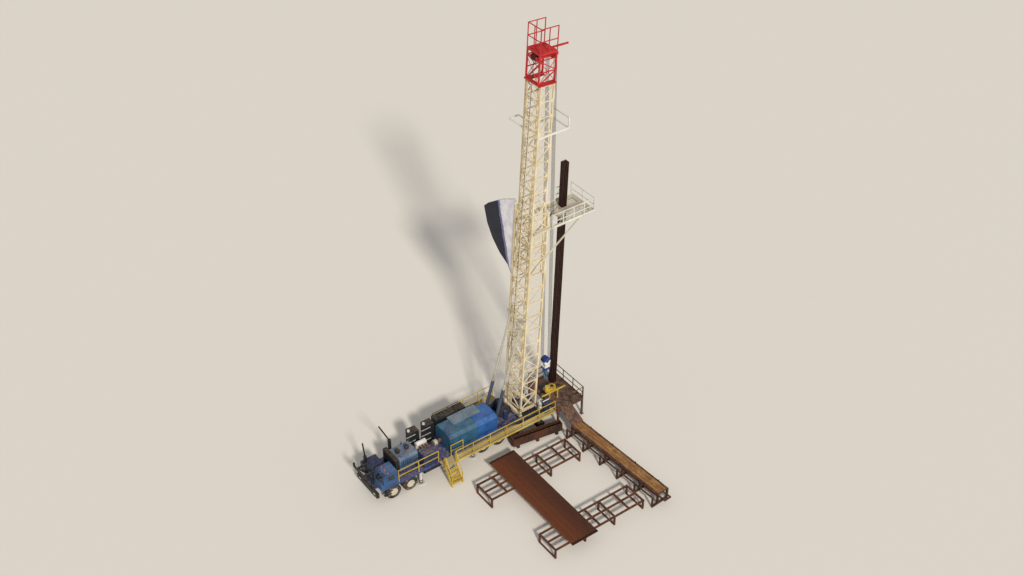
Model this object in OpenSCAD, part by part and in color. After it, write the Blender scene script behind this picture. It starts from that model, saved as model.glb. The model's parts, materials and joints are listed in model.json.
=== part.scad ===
// Carrier-mounted drilling rig at work, in millimetres.
// The origin lies at ground level under the base beam that carries the rig's tail jacks.
// +Z is up, the carrier's cab points to -X, and the catwalk runs to -Y.

/* [Carrier] */
// Width of the carrier's deck
carrier_w = 2600; // [2500:20:2800]
// Place of the carrier's front end along X
carrier_front_x = -13000; // [-14000:50:-12950]
// Place of the carrier's rear end along X
carrier_rear_x = 450; // [380:10:600]
// Height of the deck above the ground
deck_z = 1250; // [1220:10:1400]
// Thickness of the deck plates
deck_t = 30; // [10:2:40]
// Height of the bearers under the deck plates
bearer_h = 70; // [50:5:90]
// Height of the frame rails
rail_h = 380; // [300:10:400]
// Distance between the middles of the frame rails
rail_gap = 860; // [800:10:940]
// Width of the frame rails' flanges
flange_w = 160; // [120:5:200]
// Length of the cab
cab_l = 1300; // [1200:20:1400]
// Width of the cab
cab_w = 1100; // [1000:20:1150]
// Height of the cab above the deck
cab_h = 1050; // [950:10:1200]
// Length of the engine cover
cover_l = 1500; // [1300:50:1600]
// Height of the engine cover above the deck
cover_h = 1050; // [900:10:1200]
// Width of the side walkways
walk_w = 700; // [600:10:750]
// Height of the handrails
rail_height = 1000; // [900:10:1100]

/* [Wheels] */
// Radius of the tyres
tyre_r = 530; // [480:5:545]
// Width of the front tyres
front_tyre_w = 380; // [280:10:420]
// Width of one rear twin tyre
rear_tyre_w = 270; // [220:5:290]
// Gap between the tyres and the ground, the rig standing on its jacks
tyre_lift = 20; // [10:5:40]
// Place of the first front axle along X
front_axle_x = -11900; // [-12000:10:-11850]
// Place of the first rear axle along X
rear_axle_x = -4700; // [-4750:10:-4650]
// Distance between neighbouring axles
axle_pitch = 1300; // [1200:10:1350]
// Radius of the axle shafts
shaft_r = 60; // [40:2:80]
// Running clearance between a shaft and its bearing, in radius
shaft_clearance = 0.1; // [0.05:0.01:0.1]

/* [Jacks] */
// Radius of the jack pads
pad_r = 260; // [200:10:300]
// Radius of the jack cylinders
jack_r = 110; // [80:5:130]
// Distance of the jacks from the middle of the carrier
jack_y = 1150; // [1100:10:1180]
// Height of the base beam under the tail jacks
base_h = 350; // [250:10:400]
// Length of the base beam across the rig
base_l = 3200; // [2900:50:3600]

/* [Drawworks] */
// Length of the drawworks housing
housing_l = 2250; // [2000:20:2400]
// Width of the drawworks housing
housing_w = 1800; // [1600:20:1850]
// Height of the drawworks housing above the deck
housing_h = 1450; // [1300:20:1600]
// Length of the drum guard behind the housing
guard_l = 1600; // [1400:20:1700]
// Radius of the drawworks drum
drum_r = 400; // [300:10:450]

/* [Mast] */
// Lean of the mast over the well, in degrees
mast_lean = 3.2; // [3.0:0.05:3.4]
// Place of the mast's foot along X
mast_foot_x = -700; // [-750:10:-650]
// Height of the mast's feet above the ground
mast_foot_z = 1700; // [1650:10:1800]
// Length of the lower mast section
lower_l = 15800; // [15000:100:16200]
// Depth of the lower mast section, along X
lower_d = 1350; // [1300:10:1400]
// Width of the lower mast section, along Y
lower_w = 1900; // [1800:10:1960]
// Size of the lower section's corner legs
lower_leg = 120; // [100:5:130]
// Height of the upper section's foot above the mast's foot
upper_foot = 11100; // [10500:100:12000]
// Length of the upper mast section
upper_l = 13600; // [13000:100:14000]
// Depth of the upper mast section, along X
upper_d = 1080; // [1000:10:1100]
// Width of the upper mast section, along Y
upper_w = 1520; // [1400:10:1560]
// Size of the upper section's corner legs
upper_leg = 100; // [80:5:110]
// Size of the mast's lattice bars
brace_t = 60; // [40:5:70]
// Number of lattice panels in the lower section
lower_panels = 14; // [10:1:18]
// Number of lattice panels in the upper section
upper_panels = 13; // [9:1:17]

/* [Crown] */
// Height of the crown with its guard rail above the upper section
crown_h = 3640; // [3300:20:3900]
// Width of the crown
crown_w = 1300; // [1240:20:1400]
// Height of the sheave axle above the crown's foot
crown_axle_h = 1650; // [1500:20:1800]
// Radius of the sheaves in crown and block
sheave_r = 280; // [220:5:300]
// Thickness of one sheave
sheave_t = 60; // [40:2:80]
// Number of sheaves in the crown and in the block
sheave_count = 4; // [2:1:4]

/* [Travelling block] */
// Place of the well behind the base beam, along X
well_x = 1500; // [1470:5:1520]
// Height of the block's sheave axle above the ground at its lowest
block_z = 4300; // [4200:20:4600]
// Radius of a drill line
line_r = 14; // [8:1:20]
// Gap between a line and the sheave that it runs off
line_gap = 0.5; // [0.3:0.1:1]
// Height of the elevator above the slip table at its lowest
elevator_rise = 930; // [300:10:1000]
// Inner radius of the elevator
elevator_r = 45; // [40:1:60]

/* [Tubing board] */
// How far the tubing board sits below the top of the lower mast section
board_drop = 1200; // [700:50:2000]
// Place of the board's outer end along X
board_end_x = 4300; // [4200:20:4800]
// Half width of the board
board_half_w = 1230; // [1200:10:1500]
// Height of the board's rails
board_rail_h = 1000; // [900:20:1200]

/* [Rod basket] */
// Height of the rod basket above the ground
basket_z = 22900; // [21500:50:23400]
// Place of the basket's outer end along X
basket_end_x = 2350; // [2250:20:2800]

/* [Work floor] */
// Height of the work floor
floor_z = 1500; // [1400:20:1700]
// Place of the floor's end near the carrier along X
floor_x0 = 950; // [930:5:980]
// Length of the floor along X
floor_l = 2250; // [2200:50:2600]
// Place of the floor's edge at the catwalk along Y
floor_y0 = -2200; // [-2300:10:-2100]
// Place of the floor's far edge along Y
floor_y1 = 1250; // [1200:10:1500]
// Length of the ramp from the floor down to the catwalk, along Y
ramp_run = 1260; // [1200:20:1400]
// Radius of the hole through the slip table
slip_bore_r = 180; // [150:5:200]
// Height of the slip table
slip_h = 200; // [150:10:220]

/* [Pipe] */
// Radius of a tube of the string
pipe_r = 36.5; // [30:0.5:38]
// Length of a single tube
pipe_l = 9050; // [8900:50:9600]
// Number of tubes laid on the racks
laid_count = 25; // [12:1:26]
// Lean of the racked stands away from the mast, in degrees
stand_lean = 1.9; // [1.4:0.1:2.2]
// Distance from the floor's outer edge to the feet of the racked stands
stand_inset = 400; // [320:20:460]
// Rows of racked stands along X
racked_rows = 4; // [2:1:5]
// Racked stands in one row along Y
racked_in_row = 5; // [2:1:6]

/* [Catwalk and racks] */
// Width of the catwalk's deck
catwalk_w = 1000; // [900:20:1100]
// Height of the catwalk's deck
catwalk_z = 900; // [850:10:960]
// Length of the catwalk
catwalk_l = 8500; // [8000:50:9000]
// Turn of the catwalk from the rig's cross line, in degrees
catwalk_turn = 3.5; // [2:0.1:4]
// Height of the pipe racks
rack_z = 800; // [700:10:860]
// Distance over a rack's two outer rails
rack_w = 1750; // [1600:20:1850]
// Length of the near rack
rack_near_l = 7400; // [7300:20:7450]
// Length of the far rack
rack_far_l = 7300; // [7100:20:7500]

/* [Hidden] */
$fn = 32;

seat_gap = 0.3;
tube = 45;
half_w = carrier_w / 2;
frame_z = deck_z - deck_t - bearer_h;
rail_y = rail_gap / 2;
rail_web = 16;
flange_t = 20;
axle_z = tyre_r + tyre_lift;
axle_xs = [
    front_axle_x, front_axle_x + axle_pitch,
    rear_axle_x, rear_axle_x + axle_pitch, rear_axle_x + 2 * axle_pitch
];
deck_front_x = carrier_front_x + 130;
base_beam_w = 500;

// Places of the deck's pieces, from the front to the tail
cab_x = deck_front_x + 20;
cab_y0 = -half_w;
radiator_l = 300;
radiator_x = cab_x + cab_l + 250;
cover_x = radiator_x + radiator_l;
cover_w = 1400;
cover_y0 = -550;
box_x = cover_x + cover_l + 20;
box_l = 1150;
drum_bay_l = 2075;
guard_x1 = mast_foot_x - lower_d / 2 - drum_bay_l;
guard_x0 = guard_x1 - guard_l;
housing_x1 = guard_x0 - 20;
housing_x0 = housing_x1 - housing_l;
housing_y0 = -1130;
stair_w = 900;
stair_x0 = housing_x0 - stair_w - 120;
front_jack_x = front_axle_x + axle_pitch + tyre_r + pad_r + 60;
mid_jack_x = rear_axle_x - tyre_r - pad_r - 60;
jack_xs = [front_jack_x, mid_jack_x, 0];
walk_near_x1 = floor_x0 - 60;

lower_y = (lower_w - lower_leg) / 2;
lower_x = (lower_d - lower_leg) / 2;
upper_y = (upper_w - upper_leg) / 2;
upper_x = (upper_d - upper_leg) / 2;
lower_pitch = (lower_l - brace_t) / lower_panels;
upper_pitch = (upper_l - brace_t) / upper_panels;
mast_side_y = lower_w / 2 + seat_gap;
board_z = mast_foot_z + lower_l - board_drop;
main_deck_x1 = mast_foot_x - lower_d / 2 - 250;
crown_foot = upper_foot + upper_l;
crown_axle = crown_foot + crown_axle_h;
well_local_x = (well_x - mast_foot_x - crown_axle * sin(mast_lean)) / cos(mast_lean);
crown_axle_z = mast_foot_z - well_local_x * sin(mast_lean) + crown_axle * cos(mast_lean);
sheave_pitch = 95;
sheave_half_y = (sheave_count - 1) / 2 * sheave_pitch + sheave_t / 2;
crown_beam_y = sheave_half_y + 60;
fast_sheave_x = -crown_w / 2 + sheave_r - 30;
fast_line_y = -(sheave_count - 1) / 2 * sheave_pitch;
drum_x = guard_x1 + 1100;
drum_z = deck_z + drum_r + 250;

floor_x1 = floor_x0 + floor_l;
board_strip_y = lower_w / 2 + 115;
finger_w = 30;
plank_half = 260;
stand_pitch_x = 2 * pipe_r + finger_w + 10;
stand_pitch_y = 2 * pipe_r + 8;
stand_x = floor_x1 - stand_pitch_x * racked_rows - stand_inset;
stand_shift = (board_z - floor_z) * tan(stand_lean);
laid_pitch = 2 * pipe_r + 10;
pipe_near_y = -3000;
laid_x0 = housing_x0 + 1820;
rack_near_y = -4100;
rack_far_y = -9960;
rack_near_x1 = 100;
rack_far_x1 = 700;
catwalk_x = well_x;
ramp_w = 1000;
ramp_x = catwalk_x + 150 - ramp_w / 2;
catwalk_y = floor_y0 - ramp_run;

function mast_x(z) = mast_foot_x + (z - mast_foot_z) * tan(mast_lean);

// A box-section bar from point p to point q, w across and d deep.
module bar(p, q, w, d) {
    v = q - p;
    translate(p)
        rotate([0, acos(v.z / norm(v)), atan2(v.y, v.x)])
            translate([-d / 2, -w / 2, 0])
                cube([d, w, norm(v)]);
}

// A round rod from point p to point q.
module rod(p, q, r, sides = 32) {
    v = q - p;
    translate(p)
        rotate([0, acos(v.z / norm(v)), atan2(v.y, v.x)])
            cylinder(r = r, h = norm(v), $fn = sides);
}

// A flat bar in the plane from point p to point q.
module flat_bar(p, q, t) {
    v = q - p;
    translate(p)
        rotate(atan2(v.y, v.x))
            translate([0, -t / 2])
                square([norm(v), t]);
}

// Zigzag lattice with a girt at each panel, w wide and h high.
module lattice(w, h, panels, t) {
    pitch = (h - t) / panels;
    intersection() {
        square([w, h]);
        union() {
            for (i = [0 : panels])
                translate([0, i * pitch])
                    square([w, t]);
            for (i = [0 : panels - 1]) {
                from_left = i % 2 == 0;
                flat_bar([from_left ? 0 : w, i * pitch + t / 2],
                         [from_left ? w : 0, (i + 1) * pitch + t / 2], t);
            }
        }
    }
}

// Places what it holds in the leaning frame of the mast, its foot at the origin.
module on_mast() {
    translate([mast_foot_x, 0, mast_foot_z])
        rotate([0, mast_lean, 0])
            children();
}

// Stands a flat outline up in the XZ plane, t thick about y.
module in_xz(y, t) {
    translate([0, y + t / 2, 0])
        rotate([90, 0, 0])
            linear_extrude(t)
                children();
}

// Stands a flat outline up in the YZ plane, t thick about x.
module in_yz(x, t) {
    translate([x - t / 2, 0, 0])
        rotate([90, 0, 90])
            linear_extrude(t)
                children();
}

// Guard rail outline: posts, a top rail and a knee rail.
module rail_outline(l, h, bays) {
    pitch = (l - tube) / bays;
    for (i = [0 : bays])
        translate([i * pitch, 0])
            square([tube, h]);
    for (k = [0.5, 1])
        translate([0, h * k - tube])
            square([l, tube]);
}

// Outline of a plate with a row of slots cut from it.
module louvred(l, h, slots, margin) {
    pitch = (l - 2 * margin) / slots;
    difference() {
        square([l, h]);
        for (i = [0 : slots - 1])
            translate([margin + (i + 0.2) * pitch, margin])
                square([pitch * 0.6, h - 2 * margin]);
    }
}

module carrier_frame() {
    frame_l = carrier_rear_x - carrier_front_x;
    cross_w = 120;
    cross_h = 200;
    crosses = 8;
    hanger_w = 220;
    hanger_t = 120;
    hanger_drop = 130;
    color("#2a3f78") {
        for (side = [-1, 1])
            translate([carrier_front_x, side * rail_y, frame_z - rail_h])
                rotate([90, 0, 90])
                    linear_extrude(frame_l)
                        union() {
                            for (top = [0, rail_h - flange_t])
                                translate([-flange_w / 2, top])
                                    square([flange_w, flange_t]);
                            translate([-rail_web / 2, 0])
                                square([rail_web, rail_h]);
                        }
        for (i = [0 : crosses])
            translate([carrier_front_x + cross_w + i * (frame_l - 3 * cross_w) / crosses,
                       -rail_y, frame_z - rail_h + 80])
                cube([cross_w, rail_gap, cross_h]);
        for (x = axle_xs, side = [-1, 1])
            difference() {
                translate([x - hanger_w / 2, side * rail_y - hanger_t / 2, axle_z - hanger_drop])
                    cube([hanger_w, hanger_t, frame_z - rail_h - axle_z + hanger_drop]);
                translate([x, side * rail_y + hanger_t, axle_z])
                    rotate([90, 0, 0])
                        cylinder(r = shaft_r + shaft_clearance, h = 2 * hanger_t);
            }
    }
}

module front_bumper() {
    bumper_w = 2500;
    bumper_d = 200;
    bumper_h = 380;
    lamp = [240, 130];
    lamp_y = 900;
    color("#20242c")
        translate([carrier_front_x - bumper_d, -bumper_w / 2, frame_z - rail_h - 120])
            difference() {
                cube([bumper_d, bumper_w, bumper_h]);
                for (side = [-1, 1])
                    translate([-1, bumper_w / 2 + side * lamp_y - lamp.x / 2, lamp.y])
                        cube([61, lamp.x, lamp.y]);
            }
}

module mast_rest() {
    post = 110;
    post_y = rail_y;
    reach = 550;
    top_z = 2350;
    saddle_l = 1500;
    color("#1c1e22")
        union() {
            for (side = [-1, 1]) {
                bar([carrier_front_x + post / 2, side * post_y, frame_z],
                    [carrier_front_x + post / 2, side * post_y, top_z], post, post);
                bar([carrier_front_x - reach, side * post_y, top_z - post / 2],
                    [carrier_front_x + post / 2, side * post_y, frame_z + 400], 80, 80);
                translate([carrier_front_x - reach - post / 2, side * post_y - post / 2, top_z - post])
                    cube([reach + post, post, post]);
            }
            translate([carrier_front_x - reach - post, -saddle_l / 2, top_z - post])
                cube([post, saddle_l, post]);
            for (side = [-1, 1])
                translate([carrier_front_x - reach - post, side * saddle_l / 2 - post / 2, top_z - post])
                    cube([post, post, 350]);
        }
}

cab_sill = 480;
cab_rake = 300;
cab_wall = 50;
glass_t = 10;
window = [520, 420];
window_at = [520, 500];
rake_v = [cab_rake, cab_h - cab_sill];

// A point on the cab's raked front, at fraction f of its height and depth d into the cab.
function raked(f, d) = [0, cab_sill] + f * rake_v + d * [rake_v.y, -rake_v.x] / norm(rake_v);

// Outline of the cab from the side, x along the carrier and z above the deck.
module cab_side(inset) {
    polygon([
        [inset, inset], [inset, cab_sill], [cab_rake + inset, cab_h - inset],
        [cab_l - inset, cab_h - inset], [cab_l - inset, inset]
    ]);
}

// Stands an outline up along the cab's length, w wide, its middle at the cab's middle.
module across_cab(w) {
    translate([cab_x, cab_y0 + (cab_w + w) / 2, deck_z])
        rotate([90, 0, 0])
            linear_extrude(w)
                children();
}

module cab() {
    color("#1f5aa8")
        difference() {
            across_cab(cab_w)
                cab_side(0);
            across_cab(cab_w - 2 * cab_wall)
                cab_side(cab_wall);
            across_cab(cab_w + 2 * cab_wall)
                translate(window_at)
                    square(window);
            across_cab(cab_w - 4 * cab_wall)
                polygon([raked(0.12, -20), raked(0.85, -20), raked(0.85, 80), raked(0.12, 80)]);
        }
}

module cab_glass() {
    color("#8fa8b8", 0.4) {
        for (y = [cab_y0 + cab_wall / 2, cab_y0 + cab_w - cab_wall / 2])
            translate([cab_x + window_at.x, y - glass_t / 2, deck_z + window_at.y])
                cube([window.x, glass_t, window.y]);
        across_cab(cab_w - 4 * cab_wall)
            polygon([
                raked(0.12, 15), raked(0.85, 15), raked(0.85, 15 + glass_t), raked(0.12, 15 + glass_t)
            ]);
    }
}

hood_h = 620;

module engine_hood() {
    hood_l = cab_l - 150;
    hood_y0 = cab_y0 + cab_w + 60;
    color("#1d4c92")
        translate([cab_x, hood_y0, deck_z])
            difference() {
                cube([hood_l, half_w - hood_y0, hood_h]);
                for (i = [0 : 5])
                    translate([150 + i * 150, half_w - hood_y0 - 20, 150])
                        cube([80, 40, hood_h - 300]);
            }
}

module radiator() {
    rim = 120;
    radiator_w = cover_w + 200;
    radiator_h = cover_h + 100;
    color("#14161b")
        translate([radiator_x, cover_y0 - 100, deck_z])
            difference() {
                cube([radiator_l, radiator_w, radiator_h]);
                translate([-1, rim, rim])
                    cube([51, radiator_w - 2 * rim, radiator_h - 2 * rim]);
            }
}

module engine_cover() {
    bevel = 160;
    color("#49678f")
        difference() {
            translate([cover_x, cover_y0, deck_z])
                rotate([90, 0, 90])
                    linear_extrude(cover_l)
                        polygon([
                            [0, 0], [0, cover_h - bevel], [bevel, cover_h],
                            [cover_w - bevel, cover_h], [cover_w, cover_h - bevel], [cover_w, 0]
                        ]);
            for (side = [0, 1], i = [0 : 3])
                translate([cover_x + 200 + i * (cover_l - 300) / 4,
                           cover_y0 + side * cover_w - 20, deck_z + 200])
                    cube([(cover_l - 300) / 4 - 100, 40, cover_h - bevel - 300]);
        }
}

module transmission() {
    case_h = 700;
    color("#4a4c50")
        union() {
            translate([box_x, cover_y0 + 350, deck_z])
                cube([box_l, 620, case_h]);
            translate([box_x + box_l, cover_y0 + 660, deck_z + case_h / 2])
                rotate([0, 90, 0])
                    cylinder(r = 150, h = housing_x0 - box_x - box_l);
        }
}

// A muffler standing at x and z with its pipe leaning to the front.
module stack(x, z, muffler_h, lean, rise) {
    stack_y = 1050;
    union() {
        rod([x, stack_y, z], [x, stack_y, z + muffler_h], 120);
        rod([x, stack_y, z + muffler_h - 60], [x - lean, stack_y, z + muffler_h + rise], 50);
    }
}

module exhaust_stacks() {
    engine_muffler_h = 1550;
    engine_pipe_lean = 700;
    engine_pipe_rise = 1550;
    cab_muffler_h = 500;
    cab_pipe_lean = 100;
    cab_pipe_rise = 1200;
    color("#101012") {
        stack(cover_x + 300, deck_z, engine_muffler_h, engine_pipe_lean, engine_pipe_rise);
        stack(cab_x + 250, deck_z + hood_h, cab_muffler_h, cab_pipe_lean, cab_pipe_rise);
    }
}

module deck_plates() {
    bearers = 10;
    strip_w = half_w - lower_w / 2 - 50;
    color("#2b55a0") {
        union() {
            translate([deck_front_x, -half_w, deck_z - deck_t])
                cube([main_deck_x1 - deck_front_x, carrier_w, deck_t]);
            for (i = [0 : bearers])
                translate([deck_front_x + 100 + i * (main_deck_x1 - deck_front_x - 260) / bearers,
                           -half_w, frame_z])
                    cube([60, carrier_w, bearer_h]);
            for (side = [-1, 1])
                translate([main_deck_x1 - 1, side * (half_w - strip_w / 2) - strip_w / 2, deck_z - deck_t])
                    cube([carrier_rear_x - main_deck_x1 + 1, strip_w, deck_t]);
            for (x = [mast_foot_x, carrier_rear_x - 120])
                translate([x - 30, -half_w, frame_z])
                    cube([60, carrier_w, bearer_h]);
        }
    }
}

module fuel_tanks() {
    tank_r = 280;
    tank_y = 900;
    tank_x0 = front_jack_x + pad_r + 100;
    tank_l = 1900;
    tank_z = frame_z - tank_r - 80;
    color("#16181d")
        for (side = [-1, 1])
            union() {
                rod([tank_x0, side * tank_y, tank_z], [tank_x0 + tank_l, side * tank_y, tank_z], tank_r);
                for (x = [tank_x0 + 300, tank_x0 + tank_l - 400])
                    translate([x, side > 0 ? rail_y + rail_web / 2 : -tank_y, frame_z - 300])
                        cube([100, tank_y - rail_y - rail_web / 2, 90]);
            }
}

module battery_box() {
    box_w = 700;
    box_h = 1100;
    color("#22305f")
        translate([box_x, -half_w + 60, deck_z])
            difference() {
                cube([box_l, box_w, box_h]);
                for (i = [0, 1])
                    translate([80 + i * box_l / 2, -20, 150])
                        cube([box_l / 2 - 160, 40, box_h - 300]);
            }
}

module hydraulic_tanks() {
    tank = [700, 600, 1500];
    color("#121318")
        for (x = [box_x + 200, housing_x0 - tank.x - 60])
            translate([x, half_w - tank.y, deck_z])
                cube(tank);
}

module air_tanks() {
    air_r = 170;
    air_y = 330;
    air_z = deck_z + 700 + air_r;
    tail_r = 180;
    color("#e8e8e4") {
        union() {
            rod([box_x + 300, air_y - 120, air_z], [box_x + 1050, air_y - 120, air_z], air_r);
            for (x = [box_x + 400, box_x + 850])
                translate([x, air_y - 220, deck_z + 700])
                    cube([80, 200, air_r / 2]);
        }
        translate([carrier_rear_x - tail_r, -half_w + tail_r, deck_z])
            cylinder(r = tail_r, h = 750);
    }
}

// Outline of a housing from its end, bevelled along both top edges.
module bevelled(w, h, bevel) {
    polygon([[0, 0], [0, h - bevel], [bevel, h], [w - bevel, h], [w, h - bevel], [w, 0]]);
}

module drawworks_housing() {
    doors = 3;
    margin = 120;
    pitch = (housing_l - margin) / doors;
    color("#2f7290")
        difference() {
            translate([housing_x0, housing_y0, deck_z])
                rotate([90, 0, 90])
                    linear_extrude(housing_l)
                        bevelled(housing_w, housing_h, 200);
            for (i = [0 : doors - 1], side = [0, 1])
                translate([housing_x0 + margin + i * pitch, housing_y0 + side * housing_w - 20,
                           deck_z + margin])
                    cube([pitch - margin, 40, housing_h - 200 - 2 * margin]);
        }
}

module drum_guard() {
    margin = 120;
    color("#0f6fd0")
        difference() {
            translate([guard_x0, housing_y0, deck_z])
                rotate([90, 0, 90])
                    linear_extrude(guard_l)
                        bevelled(housing_w, housing_h, 260);
            for (side = [0, 1])
                translate([guard_x0 + margin, housing_y0 + side * housing_w - 20, deck_z + margin])
                    cube([guard_l - 2 * margin, 40, housing_h - 260 - 2 * margin]);
        }
}

module drawworks_canopy() {
    roof_t = 90;
    color("#66808a")
        translate([housing_x0 + 900, housing_y0 + housing_w / 2, deck_z + housing_h])
            cube([guard_x0 + 800 - housing_x0 - 900, housing_w / 2 - 60, roof_t]);
}

module cooler_panel() {
    panel_h = 1600;
    panel_y0 = housing_y0 + housing_w + 20;
    color("#0d0e11")
        translate([housing_x0 + 100, panel_y0, deck_z])
            difference() {
                cube([housing_l + 150, half_w - panel_y0, panel_h]);
                for (i = [0, 1])
                    translate([120 + i * (housing_l + 150) / 2, -1, 250])
                        cube([housing_l / 2 - 165, 31, panel_h - 370]);
            }
}

module drawworks_drum() {
    drum_half = 430;
    flange_r = drum_r + 120;
    flange = 40;
    pedestal_w = 300;
    color("#232c52")
        union() {
            translate([drum_x, drum_half, drum_z])
                rotate([90, 0, 0])
                    cylinder(r = drum_r, h = 2 * drum_half);
            for (side = [-1, 1]) {
                translate([drum_x, side * drum_half + flange / 2, drum_z])
                    rotate([90, 0, 0])
                        cylinder(r = flange_r, h = flange);
                translate([drum_x - pedestal_w / 2, side * (drum_half + 140) - 50, deck_z])
                    cube([pedestal_w, 100, drum_z - deck_z + 120]);
            }
            translate([drum_x, drum_half + 190, drum_z])
                rotate([90, 0, 0])
                    cylinder(r = 80, h = 2 * (drum_half + 190));
        }
}

module tail_winches() {
    winch_r = 170;
    winch_l = 480;
    winch_y = half_w - winch_r;
    frame_h = 260;
    color("#1c3f96")
        for (x = [mast_foot_x - 560, mast_foot_x + 40])
            union() {
                rod([x, -winch_y, deck_z + frame_h], [x + winch_l, -winch_y, deck_z + frame_h], winch_r - 50);
                for (end = [0, winch_l - 40])
                    translate([x + end, -winch_y, deck_z + frame_h])
                        rotate([0, 90, 0])
                            cylinder(r = winch_r, h = 40);
                for (end = [0, winch_l - 40])
                    translate([x + end, -winch_y - 60, deck_z])
                        cube([40, 120, frame_h]);
            }
}

module walkways() {
    walk_t = 60;
    color("#d9b21a") {
        translate([housing_x0 - 100, -half_w - walk_w, deck_z - walk_t])
            cube([walk_near_x1 - housing_x0 + 100, walk_w, walk_t]);
        translate([stair_x0, -half_w - walk_w, deck_z - walk_t])
            cube([housing_x0 - 100 - stair_x0, walk_w, walk_t]);
        translate([housing_x0 + 600, half_w, deck_z - walk_t])
            cube([main_deck_x1 - housing_x0 - 600, walk_w, walk_t]);
    }
}

module walkway_rails() {
    edge = half_w + walk_w - tube / 2;
    color("#e8c21c") {
        translate([stair_x0 + stair_w, 0, deck_z])
            in_xz(-edge, tube)
                rail_outline(walk_near_x1 - stair_x0 - stair_w, rail_height, 6);
        translate([stair_x0 + stair_w, 0, deck_z])
            in_xz(-half_w - tube, tube)
                rail_outline(housing_x0 + 900 - stair_x0 - stair_w, rail_height, 1);
        translate([cab_x + cab_l + 40, 0, deck_z])
            in_xz(-half_w + tube / 2, tube)
                rail_outline(stair_x0 - cab_x - cab_l - 60, rail_height, 2);
        translate([housing_x0 + 600, 0, deck_z])
            in_xz(edge, tube)
                rail_outline(main_deck_x1 - housing_x0 - 600, rail_height, 4);
        for (end = [0, stair_w - tube])
            translate([stair_x0 + end + tube / 2, 0, 0])
                in_yz(0, tube)
                    translate([-half_w - walk_w, deck_z])
                        square([tube, rail_height * 0.9]);
    }
}

module access_stairs() {
    top_y = -half_w - walk_w;
    run = 800;
    treads = 5;
    tread_d = 180;
    stringer = 50;
    color("#e0b512")
        union() {
            for (x = [stair_x0, stair_x0 + stair_w - stringer])
                translate([x + stringer / 2, 0, 0])
                    in_yz(0, stringer)
                        union() {
                            polygon([
                                [top_y, deck_z], [top_y, deck_z - 250], [top_y - run + 160, 0],
                                [top_y - run, 0], [top_y - run, 60], [top_y - 120, deck_z]
                            ]);
                            translate([top_y - run + 30, 50])
                                square([tube, 900]);
                            translate([top_y - 110, deck_z - 50])
                                square([tube, 950]);
                            flat_bar([top_y - run + 52, 920], [top_y - 88, deck_z + 870], tube);
                        }
            for (i = [1 : treads])
                let (z = deck_z * (1 - i / (treads + 1)))
                    translate([stair_x0 + stringer / 2, top_y - 40 - (run - 160) * (1 - z / deck_z) - tread_d, z])
                        cube([stair_w - stringer, tread_d, 30]);
        }
}

module leveling_jacks() {
    pad_t = 60;
    arm_h = 160;
    arm_z = frame_z - 250;
    rod_r = jack_r * 0.7;
    color("#b9b5a8")
        for (x = jack_xs, side = [-1, 1]) {
            foot = x == 0 ? base_h : 0;
            union() {
                translate([x, side * jack_y, foot])
                    cylinder(r = x == 0 ? 0.7 * pad_r : pad_r, h = pad_t);
                translate([x, side * jack_y, foot + pad_t])
                    cylinder(r = rod_r, h = arm_z - foot - pad_t);
                translate([x, side * jack_y, foot + 300])
                    cylinder(r = jack_r, h = frame_z - foot - 300);
                translate([x - 80, side > 0 ? rail_y + rail_web / 2 : -jack_y, arm_z])
                    cube([160, jack_y - rail_y - rail_web / 2, arm_h]);
            }
        }
}

module base_beam() {
    color("#3b3f45")
        translate([-base_beam_w / 2, -base_l / 2, 0])
            difference() {
                cube([base_beam_w, base_l, base_h]);
                for (side = [-1, 1], end = [0, 1])
                    translate([side > 0 ? base_beam_w - 120 : -1, 80 + end * base_l / 2, 60])
                        cube([121, base_l / 2 - 160, base_h - 120]);
            }
}

module mast_base() {
    beam = 200;
    beam_h = 250;
    stool = 120;
    foot_xs = [mast_foot_x - lower_x, mast_foot_x + lower_x];
    color("#d8d0b6")
        union() {
            for (x = foot_xs)
                translate([x - beam / 2, -lower_w / 2, frame_z])
                    cube([beam, lower_w, beam_h]);
            for (side = [-1, 1]) {
                translate([foot_xs[0] - beam / 2, side * lower_y - stool / 2, frame_z + beam_h])
                    cube([foot_xs[1] - foot_xs[0] + beam, stool, mast_foot_z - frame_z - beam_h - 100]);
                on_mast()
                    for (x = [-lower_x, lower_x])
                        translate([x - stool / 2 - 20, side * lower_y - stool / 2, -150])
                            cube([stool + 40, stool, 150]);
            }
        }
}

ram_y = 600;
ram_foot_x = guard_x1 + 160;
ram_head = 7600;
ram_front = -lower_d / 2 - seat_gap;

// A point of the mast's leaning frame, given as distance x and height h along it, in ground terms.
function from_mast(x, h) = [
    mast_foot_x + x * cos(mast_lean) + h * sin(mast_lean),
    mast_foot_z - x * sin(mast_lean) + h * cos(mast_lean)
];

module raising_rams() {
    stage_r = [120, 95, 70];
    foot_h = 260;
    head = from_mast(ram_front - 90, ram_head);
    foot = [ram_foot_x, deck_z + foot_h];
    color("#b4b9bf")
        for (side = [-1, 1])
            union() {
                for (i = [0 : 2])
                    rod([foot.x + (head.x - foot.x) * i / 3, side * ram_y, foot.y + (head.y - foot.y) * i / 3],
                        [foot.x + (head.x - foot.x) * (i + 1) / 3 + 8, side * ram_y,
                         foot.y + (head.y - foot.y) * (i + 1) / 3 + 30], stage_r[i], 16);
                translate([foot.x - 150, side * ram_y - 90, deck_z])
                    cube([300, 180, foot_h + 60]);
                on_mast()
                    translate([ram_front - 180, side > 0 ? ram_y - 90 : -lower_w / 2, ram_head - 60])
                        cube([180, lower_w / 2 - ram_y + 90, 160]);
            }
}

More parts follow.
